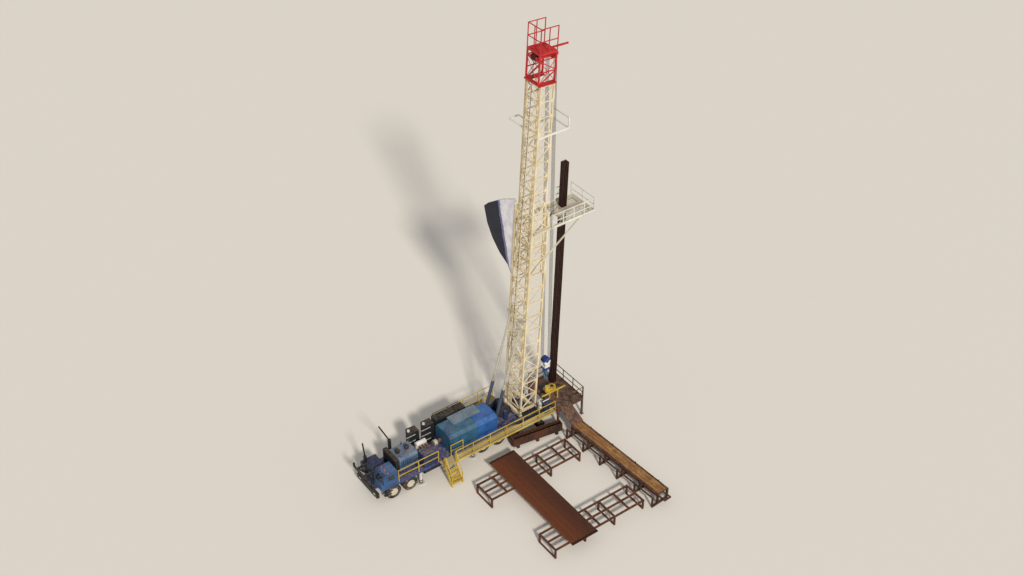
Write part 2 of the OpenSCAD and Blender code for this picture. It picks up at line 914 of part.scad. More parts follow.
// One side of a mast section: two legs joined by a lattice, its outer face at half of w.
module mast_side(side, l, d, w, leg, panels) {
    y = side * (w - leg) / 2;
    inner = d - 2 * leg;
    color("#efe9d6")
        union() {
            for (x = [-(d - leg) / 2, (d - leg) / 2])
                translate([x - leg / 2, y - leg / 2, 0])
                    cube([leg, leg, l]);
            in_xz(y, brace_t)
                translate([-inner / 2 - leg / 2, 0])
                    lattice(inner + leg, l, panels, brace_t);
        }
}

// Bracing between the two legs of a section that face the carrier.
module mast_front(l, d, w, leg, panels) {
    inner = w - 2 * leg;
    color("#efe9d6")
        in_yz(-(d - leg) / 2, brace_t)
            translate([-inner / 2, 0])
                lattice(inner, l, panels, brace_t);
}

module mast_lower_near() {
    on_mast()
        mast_side(-1, lower_l, lower_d, lower_w, lower_leg, lower_panels);
}

module mast_lower_far() {
    on_mast()
        mast_side(1, lower_l, lower_d, lower_w, lower_leg, lower_panels);
}

module mast_lower_front() {
    on_mast()
        mast_front(lower_l, lower_d, lower_w, lower_leg, lower_panels);
}

// Upper section's side with the guide pads that bear on the lower section's legs.
module upper_side(side) {
    pad_h = 300;
    pad_w = (lower_w - upper_w) / 2 - lower_leg;
    pad_x0 = upper_x - upper_leg / 4;
    pad_x1 = lower_x - brace_t / 2 - 2;
    color("#efe9d6")
        translate([0, 0, upper_foot])
            union() {
                mast_side(side, upper_l, upper_d, upper_w, upper_leg, upper_panels);
                for (end = [-1, 1], h = [0, lower_l - upper_foot - pad_h])
                    translate([end > 0 ? pad_x0 : -pad_x1, side * (upper_w + pad_w) / 2 - pad_w / 2, h])
                        cube([pad_x1 - pad_x0, pad_w, pad_h]);
            }
}

module mast_upper_near() {
    on_mast()
        upper_side(-1);
}

module mast_upper_far() {
    on_mast()
        upper_side(1);
}

module mast_upper_front() {
    on_mast()
        translate([0, 0, upper_foot])
            mast_front(upper_l, upper_d, upper_w, upper_leg, upper_panels);
}

ladder_w = 400;
ladder_bar = 40;

// Ladder outline, h high.
module ladder_outline(h) {
    rung_pitch = 300;
    for (y = [0, ladder_w - ladder_bar])
        translate([y, 0])
            square([ladder_bar, h]);
    for (z = [rung_pitch / 2 : rung_pitch : h - 30])
        translate([ladder_bar / 2, z])
            square([ladder_w - ladder_bar, 24]);
}

// A ladder from height h0 to h1 on stubs that bear on the girts in the plane at girt_x.
module ladder_run(h0, h1, girt_x, first, pitch, panels, base) {
    stand_off = 120;
    ladder_t = 30;
    face_x = girt_x - brace_t / 2 - seat_gap;
    color("#e8e2cf")
        union() {
            in_yz(face_x - stand_off, ladder_t)
                translate([0, h0])
                    ladder_outline(h1 - h0);
            for (i = [first : 3 : panels - 1], y = [0, ladder_w - ladder_bar])
                translate([face_x - stand_off, y, base + i * pitch])
                    cube([stand_off, ladder_bar, brace_t]);
        }
}

module mast_ladder() {
    on_mast() {
        ladder_run(300, lower_l - 60, -lower_x, 1, lower_pitch, lower_panels, 0);
        ladder_run(lower_l + 160, crown_foot - 80, -upper_x, ceil((lower_l + 300 - upper_foot) / upper_pitch),
                   upper_pitch, upper_panels, upper_foot);
    }
}

module crown_frame() {
    base_t = 80;
    post = 90;
    beam = 100;
    half = crown_w / 2;
    beam_z = crown_axle;
    deck_h = crown_axle_h + sheave_r + 120;
    rail = 50;
    arm_tip = 2450;
    color("#b3261e")
        on_mast()
            union() {
                difference() {
                    translate([-half, -upper_w / 2, crown_foot])
                        cube([crown_w, upper_w, base_t]);
                    translate([-half + 250, -half + 250, crown_foot - 1])
                        cube([crown_w, crown_w - 500, base_t + 2]);
                }
                for (x = [-half, half - post], y = [-half, half - post])
                    translate([x, y, crown_foot])
                        cube([post, post, deck_h]);
                for (y = [-half + post / 2, half - post / 2])
                    in_xz(y, 50)
                        translate([-half, crown_foot])
                            lattice(crown_w, crown_axle_h, 2, 60);
                for (x = [-half, half - post], y = [-half, crown_beam_y])
                    translate([x, y, beam_z - beam])
                        cube([post, half - crown_beam_y, beam]);
                for (side = [-1, 1])
                    translate([-half, side * (crown_beam_y + 30) - 30, beam_z - beam])
                        cube([half + well_local_x + sheave_r, 60, 2 * beam]);
                for (y = [-half, half - post])
                    translate([-half, y, crown_foot + deck_h - beam])
                        cube([crown_w, post, beam]);
                for (x = [-half, half - post])
                    translate([x, -half, crown_foot + deck_h - beam])
                        cube([post, crown_w, beam]);
                translate([-half, -half, crown_foot + deck_h])
                    cube([crown_w, crown_w, 30]);
                for (side = [-1, 1])
                    in_xz(side * (half - rail / 2), rail)
                        translate([-half, crown_foot + deck_h])
                            rail_outline(crown_w, crown_h - deck_h, 2);
                in_yz(-half + rail / 2, rail)
                    translate([-half, crown_foot + deck_h])
                        rail_outline(crown_w, crown_h - deck_h, 2);
                translate([half - post, half - post, beam_z - beam])
                    cube([arm_tip - half + post, post, beam]);
            }
}

module crown_sheaves() {
    axle_r = 50;
    color("#5d1a16")
        on_mast()
            for (x = [well_local_x, fast_sheave_x])
                translate([x, 0, crown_axle])
                    union() {
                        for (i = [0 : sheave_count - 1])
                            translate([0, (i - (sheave_count - 1) / 2) * sheave_pitch + sheave_t / 2, 0])
                                rotate([90, 0, 0])
                                    cylinder(r = sheave_r, h = sheave_t);
                        translate([0, crown_beam_y, 0])
                            rotate([90, 0, 0])
                                cylinder(r = axle_r, h = 2 * crown_beam_y);
                    }
}

module tubing_board() {
    beam_t = 120;
    beam_h = 160;
    brace_w = 80;
    brace_foot_z = board_z - 2400;
    brace_top_z = board_z - beam_h / 2 - 15;
    plate_t = 40;
    fingers_before = 7;
    fingers_after = 12;
    beam_x0 = mast_x(board_z) - lower_x + lower_leg / 2 + 30;
    strip_x0 = mast_x(board_z) + lower_d / 2 + 100;
    plank_x0 = finger_x(-fingers_before) - 20;
    color("#c9ccca")
        union() {
            for (side = [-1, 1]) {
                translate([beam_x0, side * (mast_side_y + beam_t / 2) - beam_t / 2, board_z - beam_h])
                    cube([board_end_x - beam_x0, beam_t, beam_h]);
                bar([mast_x(brace_foot_z) + 300, side * (mast_side_y + beam_t / 2), brace_foot_z],
                    [board_end_x - 900, side * (mast_side_y + beam_t / 2), brace_top_z], brace_w, brace_w);
                translate([strip_x0, side > 0 ? board_strip_y : -board_half_w, board_z - plate_t])
                    cube([board_end_x - strip_x0, board_half_w - board_strip_y, plate_t]);
                for (i = [-fingers_before : fingers_after])
                    translate([finger_x(i), side > 0 ? plank_half - 5 : -lower_w / 2 - 5, board_z - plate_t])
                        cube([finger_w, lower_w / 2 - plank_half + 10, plate_t]);
            }
            translate([plank_x0, -plank_half, board_z - plate_t])
                cube([board_end_x - plank_x0, 2 * plank_half, plate_t]);
            translate([board_end_x - beam_t, -mast_side_y - 1, board_z - beam_h])
                cube([beam_t, 2 * mast_side_y + 2, beam_h]);
        }
}

// Place along X of the finger that lies before stand row i, at the board's height.
function finger_x(i) = stand_x + stand_shift + (i - 0.5) * stand_pitch_x - finger_w / 2;

module board_rails() {
    rail_x0 = mast_x(board_z) + lower_d / 2 + 100;
    end_gap = tube + 5;
    color("#f4f4f0")
        translate([0, 0, board_z]) {
            for (side = [-1, 1])
                translate([rail_x0, 0, 0])
                    in_xz(side * (board_half_w - tube / 2), tube)
                        rail_outline(board_end_x - rail_x0, board_rail_h, 4);
            translate([0, -board_half_w + end_gap, 0])
                in_yz(board_end_x - tube / 2, tube)
                    rail_outline(2 * (board_half_w - end_gap), board_rail_h, 2);
        }
}

module rod_basket() {
    arm = 80;
    arm_h = 120;
    arm_y = upper_w / 2 + seat_gap + arm / 2;
    back_x = mast_x(basket_z) - upper_d / 2;
    hoop_h = 800;
    far_arm = 1500;
    color("#dfe1dd")
        union() {
            for (side = [-1, 1]) {
                translate([back_x, side * arm_y - arm / 2, basket_z])
                    cube([basket_end_x - back_x, arm, arm_h]);
                translate([basket_end_x - arm, side * arm_y - arm / 2, basket_z])
                    cube([arm, arm, hoop_h]);
            }
            for (h = [0, hoop_h - arm])
                translate([basket_end_x - arm, -arm_y - arm / 2, basket_z + h])
                    cube([arm, 2 * arm_y + arm, arm]);
            for (x = [back_x + 100, back_x + 800])
                translate([x, arm_y, basket_z])
                    cube([arm, far_arm, arm]);
            translate([back_x + 100, arm_y + far_arm - arm, basket_z])
                cube([780, arm, arm]);
        }
}

cloth_t = 20;
cloth_top_rise = 400;
cloth_foot_drop = 5350;
// Corners of the cloth's free edge: out from the rig's middle, and down from the lower section's top
cloth_edge = [
    [2340, 340], [3750, 1350], [4220, 1820], [3800, 2900], [3160, 3740], [2290, 4440], [1370, 4860]
];

module mast_cloth() {
    color("#262b4a")
        on_mast()
            in_yz(-lower_x, cloth_t)
                polygon(concat(
                    [[mast_side_y, lower_l - cloth_foot_drop], [mast_side_y, lower_l + cloth_top_rise]],
                    [for (corner = cloth_edge) [corner.x, lower_l - corner.y]]
                ));
}

module mast_lines() {
    top = from_mast(fast_sheave_x - sheave_r - line_r - line_gap, crown_axle);
    color("#4a4a48")
        rod([top.x, fast_line_y, top.y],
            [drum_x + drum_r + line_r + line_gap, fast_line_y, drum_z], line_r, 6);
}

module drill_lines() {
    color("#3b3b3a")
        for (i = [0 : sheave_count - 1], side = [-1, 1])
            translate([well_x + side * (sheave_r + line_r + line_gap),
                       (i - (sheave_count - 1) / 2) * sheave_pitch, block_z])
                cylinder(r = line_r, h = crown_axle_z - block_z, $fn = 6);
}

cheek_t = 40;
cheek_drop = 750;

module travelling_block() {
    cheek_y = sheave_half_y + 15;
    cheek_w = 440;
    neck_h = 300;
    color("#3d63b4")
        translate([well_x, 0, 0])
            union() {
                for (i = [0 : sheave_count - 1])
                    translate([0, (i - (sheave_count - 1) / 2) * sheave_pitch + sheave_t / 2, block_z])
                        rotate([90, 0, 0])
                            cylinder(r = sheave_r, h = sheave_t);
                translate([0, cheek_y + cheek_t, block_z])
                    rotate([90, 0, 0])
                        cylinder(r = 60, h = 2 * (cheek_y + cheek_t));
                for (side = [-1, 1])
                    in_xz(side * (cheek_y + cheek_t / 2), cheek_t)
                        union() {
                            translate([0, block_z])
                                circle(r = cheek_w / 2 + 50);
                            translate([-cheek_w / 2, block_z - cheek_drop])
                                square([cheek_w, cheek_drop]);
                        }
                translate([-cheek_w / 2, -cheek_y - 1, block_z - cheek_drop])
                    cube([cheek_w, 2 * cheek_y + 2, neck_h]);
            }
}

module hook() {
    link_y = 150;
    top_z = block_z - cheek_drop;
    elevator_h = 200;
    elevator_z = floor_z + slip_h + elevator_rise;
    yoke = [220, 2 * link_y + 120, 200];
    color("#8d9094")
        translate([well_x, 0, 0])
            union() {
                translate([0, 0, top_z - 250])
                    cylinder(r = 90, h = 250);
                translate([-yoke.x / 2, -yoke.y / 2, top_z - 250 - yoke.z])
                    cube([yoke.x, yoke.y, yoke.z + 20]);
                for (side = [-1, 1])
                    rod([0, side * link_y, top_z - 350], [0, side * link_y, elevator_z + 60], 28);
                difference() {
                    union() {
                        translate([0, 0, elevator_z])
                            cylinder(r = elevator_r + 60, h = elevator_h);
                        translate([-50, -link_y - 50, elevator_z])
                            cube([100, 2 * link_y + 100, elevator_h]);
                    }
                    translate([0, 0, elevator_z - 1])
                        cylinder(r = elevator_r, h = elevator_h + 2);
                }
            }
}

module work_floor() {
    plate_t = 40;
    beam_h = 160;
    beam_w = 100;
    floor_w = floor_y1 - floor_y0;
    color("#3c2c2a")
        difference() {
            union() {
                translate([floor_x0, floor_y0, floor_z - plate_t])
                    cube([floor_l, floor_w, plate_t]);
                for (y = [floor_y0, -500, 400, floor_y1 - beam_w])
                    translate([floor_x0, y, floor_z - plate_t - beam_h])
                        cube([floor_l, beam_w, beam_h + 1]);
                for (x = [floor_x0, floor_x1 - beam_w])
                    translate([x, floor_y0, floor_z - plate_t - beam_h])
                        cube([beam_w, floor_w, beam_h + 1]);
                for (i = [0 : 3])
                    translate([ramp_x + (i + 0.5) * ramp_w / 4, 0, 0])
                        in_yz(0, 80)
                            polygon([
                                [floor_y0 + 1, floor_z - 200], [floor_y0 + 1, floor_z - 20],
                                [floor_y0 - 60, floor_z - 20],
                                [catwalk_y + 60, catwalk_z + 80], [catwalk_y + 60, catwalk_z - 80]
                            ]);
                translate([ramp_x, 0, 0])
                    rotate([90, 0, 90])
                        linear_extrude(ramp_w)
                            polygon([
                                [floor_y0 + 1, floor_z - plate_t], [floor_y0 + 1, floor_z],
                                [floor_y0 - 60, floor_z],
                                [catwalk_y - 60, catwalk_z + plate_t], [catwalk_y - 60, catwalk_z + seat_gap],
                                [floor_y0 - 60, floor_z - plate_t]
                            ]);
            }
            translate([well_x, 0, floor_z - 300])
                cylinder(r = slip_bore_r + 60, h = 400);
        }
}

module floor_legs() {
    leg = 120;
    foot = 240;
    foot_t = 20;
    leg_h = floor_z - 200;
    color("#41312b") {
        for (x = [floor_x0, floor_x1 - leg], y = [floor_y0, floor_y1 - leg])
            union() {
                translate([x, y, 0])
                    cube([leg, leg, leg_h]);
                translate([x - (foot - leg) / 2, y - (foot - leg) / 2, 0])
                    cube([foot, foot, foot_t]);
            }
    }
}

module floor_rails() {
    end_gap = tube + 5;
    color("#55402f")
        translate([0, 0, floor_z]) {
            translate([floor_x0, 0, 0])
                in_xz(floor_y1 - tube / 2, tube)
                    rail_outline(floor_l, rail_height, 3);
            translate([0, floor_y0 + end_gap, 0])
                in_yz(floor_x1 - tube / 2, tube)
                    rail_outline(floor_y1 - floor_y0 - 2 * end_gap, rail_height, 3);
            translate([ramp_x + ramp_w + 60, 0, 0])
                in_xz(floor_y0 + tube / 2, tube)
                    rail_outline(floor_x1 - ramp_x - ramp_w - 60, rail_height, 1);
        }
}

module slip_table() {
    table_r = slip_bore_r + 170;
    color("#6a6d70")
        translate([well_x, 0, floor_z])
            difference() {
                cylinder(r = table_r, h = slip_h);
                translate([0, 0, -1])
                    cylinder(r = slip_bore_r, h = slip_h + 2);
            }
}

module power_tongs() {
    tong_z = floor_z + 700;
    tong_h = 240;
    post_y = -1150;
    post_x = well_x - 500;
    jaw_r = 290;
    jaw_y = -760;
    boom_l = 2050;
    boom_reach = 650;
    color("#e6bd0c")
        union() {
            translate([well_x, jaw_y, tong_z])
                cylinder(r = jaw_r, h = tong_h);
            translate([post_x - 60, jaw_y - 230, tong_z + 20])
                cube([well_x - post_x + 60, 460, tong_h - 40]);
            translate([post_x, jaw_y - 60, tong_z + 20])
                cylinder(r = 120, h = 500);
            for (x = [post_x, post_x + 700])
                translate([x, post_y, floor_z])
                    cube([70, 70, tong_z - floor_z + 120]);
            translate([post_x - boom_reach, post_y, tong_z + 40])
                cube([boom_l, 70, 80]);
            for (x = [post_x + 60, post_x + 600])
                translate([x, post_y, tong_z + 40])
                    cube([70, jaw_y - post_y, 80]);
        }
}

pipe_box_at = [-2900, -2060];
pipe_box_turn = -9.6;
pipe_box_size = [3800, 480, 650];

module pipe_box() {
    wall = 60;
    skid_h = 250;
    skid_w = 200;
    color("#4f2f22")
        translate([pipe_box_at.x, pipe_box_at.y, 0])
            rotate([0, 0, pipe_box_turn])
                translate([0, -pipe_box_size.y / 2, 0])
                    union() {
                        difference() {
                            translate([0, 0, skid_h])
                                cube(pipe_box_size);
                            translate([wall, wall, skid_h + wall])
                                cube([pipe_box_size.x - 2 * wall, pipe_box_size.y - 2 * wall, pipe_box_size.z]);
                        }
                        for (x = [300, pipe_box_size.x / 2 - skid_w / 2, pipe_box_size.x - 300 - skid_w])
                            translate([x, 0, 0])
                                cube([skid_w, pipe_box_size.y, skid_h + 1]);
                    }
}

module racked_pipe() {
    stand_l = 2 * pipe_l;
    lift = pipe_r * sin(stand_lean) + seat_gap;
    color("#241813")
        for (i = [0 : racked_rows - 1], j = [0 : racked_in_row - 1])
            translate([stand_x + i * stand_pitch_x,
                       plank_half + 20 + pipe_r + j * stand_pitch_y, floor_z + lift])
                rotate([0, stand_lean, 0])
                    cylinder(r = pipe_r, h = stand_l, $fn = 16);
}

// Places what it holds in the catwalk's frame: x across it, -y away from the floor.
module on_catwalk() {
    translate([catwalk_x, catwalk_y, 0])
        rotate([0, 0, catwalk_turn])
            children();
}

module catwalk() {
    beam = 200;
    side_w = 140;
    plate_t = 20;
    trestles = 5;
    trestle_w = 120;
    x0 = -catwalk_w / 2 + 100;
    rail_x = x0 - 450;
    rail_t = 90;
    frame_l = 650;
    color("#5c3626")
        on_catwalk()
            union() {
                for (x = [x0, x0 + catwalk_w - side_w])
                    translate([x, -catwalk_l, catwalk_z - beam])
                        cube([side_w, catwalk_l, beam]);
                translate([x0, -catwalk_l, catwalk_z - plate_t])
                    cube([catwalk_w, catwalk_l, plate_t]);
                translate([rail_x, -catwalk_l, catwalk_z - rail_t])
                    cube([rail_t, catwalk_l, rail_t]);
                for (i = [0 : trestles])
                    translate([rail_x, -trestle_w - i * (catwalk_l - trestle_w) / trestles, 0])
                        difference() {
                            cube([x0 - rail_x + catwalk_w, trestle_w, catwalk_z - rail_t + 1]);
                            translate([x0 - rail_x + side_w, -1, 100])
                                cube([catwalk_w - 2 * side_w, trestle_w + 2, catwalk_z]);
                            translate([rail_t, -1, 100])
                                cube([x0 - rail_x - rail_t, trestle_w + 2, catwalk_z]);
                        }
                for (x = [x0, x0 + 500])
                    translate([x, -catwalk_l - frame_l, catwalk_z - rail_t])
                        cube([rail_t, frame_l + 1, rail_t]);
                translate([x0, -catwalk_l - frame_l, catwalk_z - rail_t])
                    cube([500 + rail_t, rail_t, rail_t]);
            }
}

// Rack with three top rails along X, rungs between them and trestle legs.
module pipe_rack(l) {
    rail = 110;
    bays = 6;
    for (y = [0, (rack_w - rail) / 2, rack_w - rail])
        translate([0, y, rack_z - rail])
            cube([l, rail, rail]);
    for (i = [0 : bays])
        translate([i * (l - rail) / bays, 0, rack_z - rail])
            cube([rail, rack_w, rail]);
    for (i = [0 : 2 : bays], y = [0, rack_w - rail])
        translate([i * (l - rail) / bays, y, 0])
            cube([rail, rail, rack_z - rail]);
    for (i = [0 : 2 : bays])
        translate([i * (l - rail) / bays, 0, 0])
            cube([rail, rack_w, 60]);
}

module pipe_racks() {
    color("#7a4228") {
        translate([rack_near_x1 - rack_near_l, rack_near_y - rack_w, 0])
            union()
                pipe_rack(rack_near_l);
        translate([rack_far_x1 - rack_far_l, rack_far_y - rack_w, 0])
            union()
                pipe_rack(rack_far_l);
    }
}

module laid_pipe() {
    color("#6b3a24")
        for (i = [0 : laid_count - 1])
            translate([laid_x0 + pipe_r + i * laid_pitch, pipe_near_y, rack_z + pipe_r])
                rotate([90, 0, 0])
                    cylinder(r = pipe_r, h = pipe_l, $fn = 16);
}

// One tyre on its rim, turned about Y, its middle at the origin.
module wheel(w) {
    rim_r = 290;
    hub_r = 160;
    half = w / 2;
    shoulder = 60;
    rotate([90, 0, 0])
        rotate_extrude()
            polygon([
                [0, -half + 90], [hub_r, -half + 90], [hub_r, -half + 40], [rim_r - 40, -half + 100],
                [rim_r, -half + 20], [rim_r + 60, -half], [tyre_r - shoulder, -half],
                [tyre_r, -half + shoulder], [tyre_r, half - shoulder], [tyre_r - shoulder, half],
                [rim_r + 60, half], [rim_r, half - 20], [rim_r - 40, half - 100],
                [hub_r, half - 40], [hub_r, half - 90], [0, half - 90]
            ]);
}

// An axle shaft with its wheels: one wide tyre a side in front, twin tyres behind.
module wheelset(number) {
    x = axle_xs[number - 1];
    front = number <= 2;
    w = front ? front_tyre_w : rear_tyre_w;
    outer_y = half_w - w / 2;
    twin_gap = 40;
    color("#191a1c")
        translate([x, 0, axle_z])
            union() {
                translate([0, outer_y, 0])
                    rotate([90, 0, 0])
                        cylinder(r = shaft_r, h = 2 * outer_y);
                for (side = [-1, 1], k = [0 : front ? 0 : 1])
                    translate([0, side * (outer_y - k * (w + twin_gap)), 0])
                        wheel(w);
            }
}

carrier_frame();
front_bumper();
mast_rest();
cab();
cab_glass();
engine_hood();
radiator();
engine_cover();
transmission();
exhaust_stacks();
deck_plates();
fuel_tanks();
battery_box();
hydraulic_tanks();
air_tanks();
drawworks_housing();
drum_guard();
drawworks_canopy();
cooler_panel();
drawworks_drum();
tail_winches();
walkways();
walkway_rails();
access_stairs();
leveling_jacks();
base_beam();
mast_base();
raising_rams();
mast_lower_near();
mast_lower_far();
mast_lower_front();
mast_upper_near();
mast_upper_far();
mast_upper_front();
mast_ladder();
crown_frame();
crown_sheaves();
tubing_board();
board_rails();
rod_basket();
mast_cloth();
mast_lines();
drill_lines();
travelling_block();
hook();
work_floor();
floor_legs();
floor_rails();
slip_table();
power_tongs();
pipe_box();
racked_pipe();
catwalk();
pipe_racks();
laid_pipe();
wheelset(1);  // wheelset_1
wheelset(2);  // wheelset_2
wheelset(3);  // wheelset_3
wheelset(4);  // wheelset_4
wheelset(5);  // wheelset_5
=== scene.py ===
import json
import math
import random
import bpy
from mathutils import Matrix, Vector


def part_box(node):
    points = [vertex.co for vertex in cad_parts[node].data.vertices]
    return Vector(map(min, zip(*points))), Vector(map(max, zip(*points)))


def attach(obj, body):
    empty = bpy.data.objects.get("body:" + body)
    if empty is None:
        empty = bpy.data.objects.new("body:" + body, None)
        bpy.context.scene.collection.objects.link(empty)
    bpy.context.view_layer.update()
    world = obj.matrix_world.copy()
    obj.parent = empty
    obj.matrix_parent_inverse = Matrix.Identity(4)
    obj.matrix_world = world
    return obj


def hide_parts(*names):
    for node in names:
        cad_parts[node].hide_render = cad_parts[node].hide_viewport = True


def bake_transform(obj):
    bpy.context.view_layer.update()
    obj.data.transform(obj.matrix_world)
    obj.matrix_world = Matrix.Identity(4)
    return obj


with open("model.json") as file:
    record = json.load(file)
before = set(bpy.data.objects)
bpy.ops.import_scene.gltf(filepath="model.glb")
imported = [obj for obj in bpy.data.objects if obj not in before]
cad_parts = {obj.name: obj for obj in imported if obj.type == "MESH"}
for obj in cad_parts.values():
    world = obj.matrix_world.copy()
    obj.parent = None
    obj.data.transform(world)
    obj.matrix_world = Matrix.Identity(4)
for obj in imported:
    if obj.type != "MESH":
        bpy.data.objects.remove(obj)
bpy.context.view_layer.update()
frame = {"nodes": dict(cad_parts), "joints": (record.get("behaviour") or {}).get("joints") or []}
scene = bpy.context.scene

# The camera, at the photograph's viewing angle
CAMERA_AT = (-42.45, -56.05, 64.96)
CAMERA_TARGET = (-1.7586, -0.5088, 12.3507)
LENS, SENSOR = 47.4, 36.0
cam_data = bpy.data.cameras.new("camera")
cam_data.lens = LENS
cam_data.sensor_width = SENSOR
cam_data.clip_end = 1000.0
camera = bpy.data.objects.new("camera", cam_data)
scene.collection.objects.link(camera)
camera.location = CAMERA_AT
camera.rotation_mode = "QUATERNION"
camera.rotation_quaternion = (Vector(CAMERA_TARGET) - camera.location).to_track_quat("-Z", "Y")
scene.camera = camera
scene.view_settings.view_transform = "Standard"


# Helpers for places
SIDES = (-1, 1)


class Place:
    """The box round a CAD node at rest, from (x0, y0, z0) to (x1, y1, z1)."""

    def __init__(self, node):
        low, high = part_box(node)
        self.x0, self.y0, self.z0 = (round(v, 5) for v in low)
        self.x1, self.y1, self.z1 = (round(v, 5) for v in high)


def shift(x, y, z):
    return Matrix.Translation((x, y, z))


def turned(degrees, axis):
    return Matrix.Rotation(math.radians(degrees), 4, axis)


def outward(x, y, z, side):
    """A place whose own z points away from the rig's middle, along -Y or +Y."""
    return shift(x, y, z) @ turned(-90 * side, "X")


def angles(count):
    """Angles spread evenly round a circle."""
    return [2 * math.pi * k / count for k in range(count)]


def polar(r, a):
    return r * math.cos(a), r * math.sin(a)


# Places of the CAD model, read from the frame
BUMPER, DECK, CAB, HOOD, COVER = map(Place, (
    "front_bumper", "deck_plates", "cab", "engine_hood", "engine_cover"))
BATTERY, TANKS, FUEL, HOUSING, GUARD = map(Place, (
    "battery_box", "hydraulic_tanks", "fuel_tanks", "drawworks_housing", "drum_guard"))
CANOPY, COOLER, WINCHES, WALK, STAIRS = map(Place, (
    "drawworks_canopy", "cooler_panel", "tail_winches", "walkways", "access_stairs"))
BOARD, BLOCK, FLOOR, LAID, RACKS = map(Place, (
    "tubing_board", "travelling_block", "floor_rails", "laid_pipe", "pipe_racks"))
AXLE_PLACES = [joint["pos_m"] for joint in frame["joints"] if joint["name"].startswith("axle_")]

# Sizes of the CAD model, in metres
HALF_W, DECK_Z, FLOOR_Z, WELL_X = DECK.y1, DECK.z1, FLOOR.z0, 1.5
AXLES, AXLE_Z, TYRE_R = [place[0] for place in AXLE_PLACES], AXLE_PLACES[0][2], 0.53
JACK_XS, JACK_Y, BEAM_TOP = (-9.75, -5.55, 0.0), 1.15, 0.35
FAR_WALK = (-6.72, -1.63)
DRUM_X, DRUM_Z, DRUM_R, DRUM_HALF = -2.35, 1.9, 0.4, 0.43
MAST = shift(-0.7, 0.0, 1.7) @ turned(3.2, "Y")
LOWER_L, LOWER_X, LOWER_Y, BRACE = 15.8, 0.615, 0.89, 0.06
UPPER_FOOT, UPPER_L = 11.1, 13.6
# foot, length, half the width in x and in y, leg and panels of each section
MAST_SECTIONS = ((0.0, LOWER_L, LOWER_X, LOWER_Y, 0.12, 14),
                 (UPPER_FOOT, UPPER_L, 0.49, 0.71, 0.10, 13))
CROWN_FOOT = UPPER_FOOT + UPPER_L
CROWN_AXLE = CROWN_FOOT + 1.65
WELL_LOCAL, FAST_SHEAVE_X = 0.7307, -0.4
RAM_BARREL_TOP, BLOCK_AXLE, BLOCK_BAND = 4.13, 4.3, (3.76, 4.30)
TONG_Y, TONG_TOP = -0.76, 2.44
PIPE_R, PIPE_L = 0.0365, 9.05
LAID_COUNT, LAID_PITCH = 25, 0.083
STAND_X, STAND_Y, STAND_LEAN, STAND_LIFT = 2.348, 0.3165, 1.9, 0.0015
STAND_ROWS, STANDS_IN_ROW, STAND_PITCH, STAND_PITCH_Y = 4, 5, 0.113, 0.081
CATWALK = shift(WELL_X, -3.46, 0.0) @ turned(3.5, "Z")


# Materials
def srgb(code):
    """A linear colour from six hex digits."""
    out = []
    for i in (0, 2, 4):
        c = int(code[i:i + 2], 16) / 255.0
        out.append(c / 12.92 if c <= 0.04045 else ((c + 0.055) / 1.055) ** 2.4)
    return (*out, 1.0)


def tinted(colour, factor, lift=0.0):
    return tuple(min(1.0, c * factor + lift) for c in colour[:3]) + (1.0,)


class Nodes:
    """Short calls for building one node material."""

    def __init__(self, name):
        self.mat = bpy.data.materials.new(name)
        self.mat.use_nodes = True
        self.tree = self.mat.node_tree
        self.tree.nodes.clear()
        out = self.new("OutputMaterial")
        self.bsdf = self.new("BsdfPrincipled")
        self.link(self.bsdf.outputs[0], out.inputs[0])
        self.coord = self.new("TexCoord").outputs["Object"]

    def link(self, a, b):
        self.tree.links.new(a, b)

    def value(self, socket, v):
        if isinstance(v, bpy.types.NodeSocket):
            self.link(v, socket)
        else:
            socket.default_value = srgb(v) if isinstance(v, str) else v

    def new(self, kind, **inputs):
        """A node with the inputs of these names linked or set."""
        node = self.tree.nodes.new("ShaderNode" + kind)
        for socket, v in inputs.items():
            self.value(node.inputs[socket], v)
        return node

    def stretched(self, scale):
        return self.new("Mapping", Vector=self.coord, Scale=scale).outputs[0]

    def noise(self, scale, detail=6.0, rough=0.6, vector=None):
        return self.new("TexNoise", Vector=vector or self.coord, Scale=scale, Detail=detail,
                        Roughness=rough).outputs["Fac"]

    def step(self, v, lo, hi, a=0.0, b=1.0):
        """Runs smoothly from a to b while v runs from lo to hi."""
        ends = {"From Min": lo, "From Max": hi, "To Min": a, "To Max": b}
        node = self.new("MapRange", Value=v, **ends)
        node.interpolation_type = "SMOOTHSTEP"
        return node.outputs["Result"]

    def math(self, op, a, b=0.0):
        node = self.new("Math")
        node.operation = op
        self.value(node.inputs[0], a)
        self.value(node.inputs[1], b)
        return node.outputs[0]

    def times(self, a, b):
        return self.math("MULTIPLY", a, b)

    def mix(self, fac, a, b):
        """Mixes two colours, which are this node's inputs 6 and 7 and its output 2."""
        node = self.new("Mix")
        node.data_type = "RGBA"
        self.value(node.inputs["Factor"], fac)
        self.value(node.inputs[6], a)
        self.value(node.inputs[7], b)
        return node.outputs[2]

    def split(self, vector):
        """The three parts of a vector."""
        return self.new("SeparateXYZ", Vector=vector).outputs

    def up(self):
        """How far the surface faces up."""
        return self.split(self.new("NewGeometry").outputs["Normal"])[2]

    def bump(self, height, strength, distance=0.01):
        node = self.new("Bump", Strength=strength, Distance=distance, Height=height)
        self.link(node.outputs[0], self.bsdf.inputs["Normal"])

    def finish(self, colour, rough, metallic=0.0):
        self.value(self.bsdf.inputs["Base Color"], colour)
        self.value(self.bsdf.inputs["Roughness"], rough)
        self.value(self.bsdf.inputs["Metallic"], metallic)
        return self.mat


SAND = srgb("c2a176")
RUST = srgb("6b3a22")
GREASE = srgb("17130f")


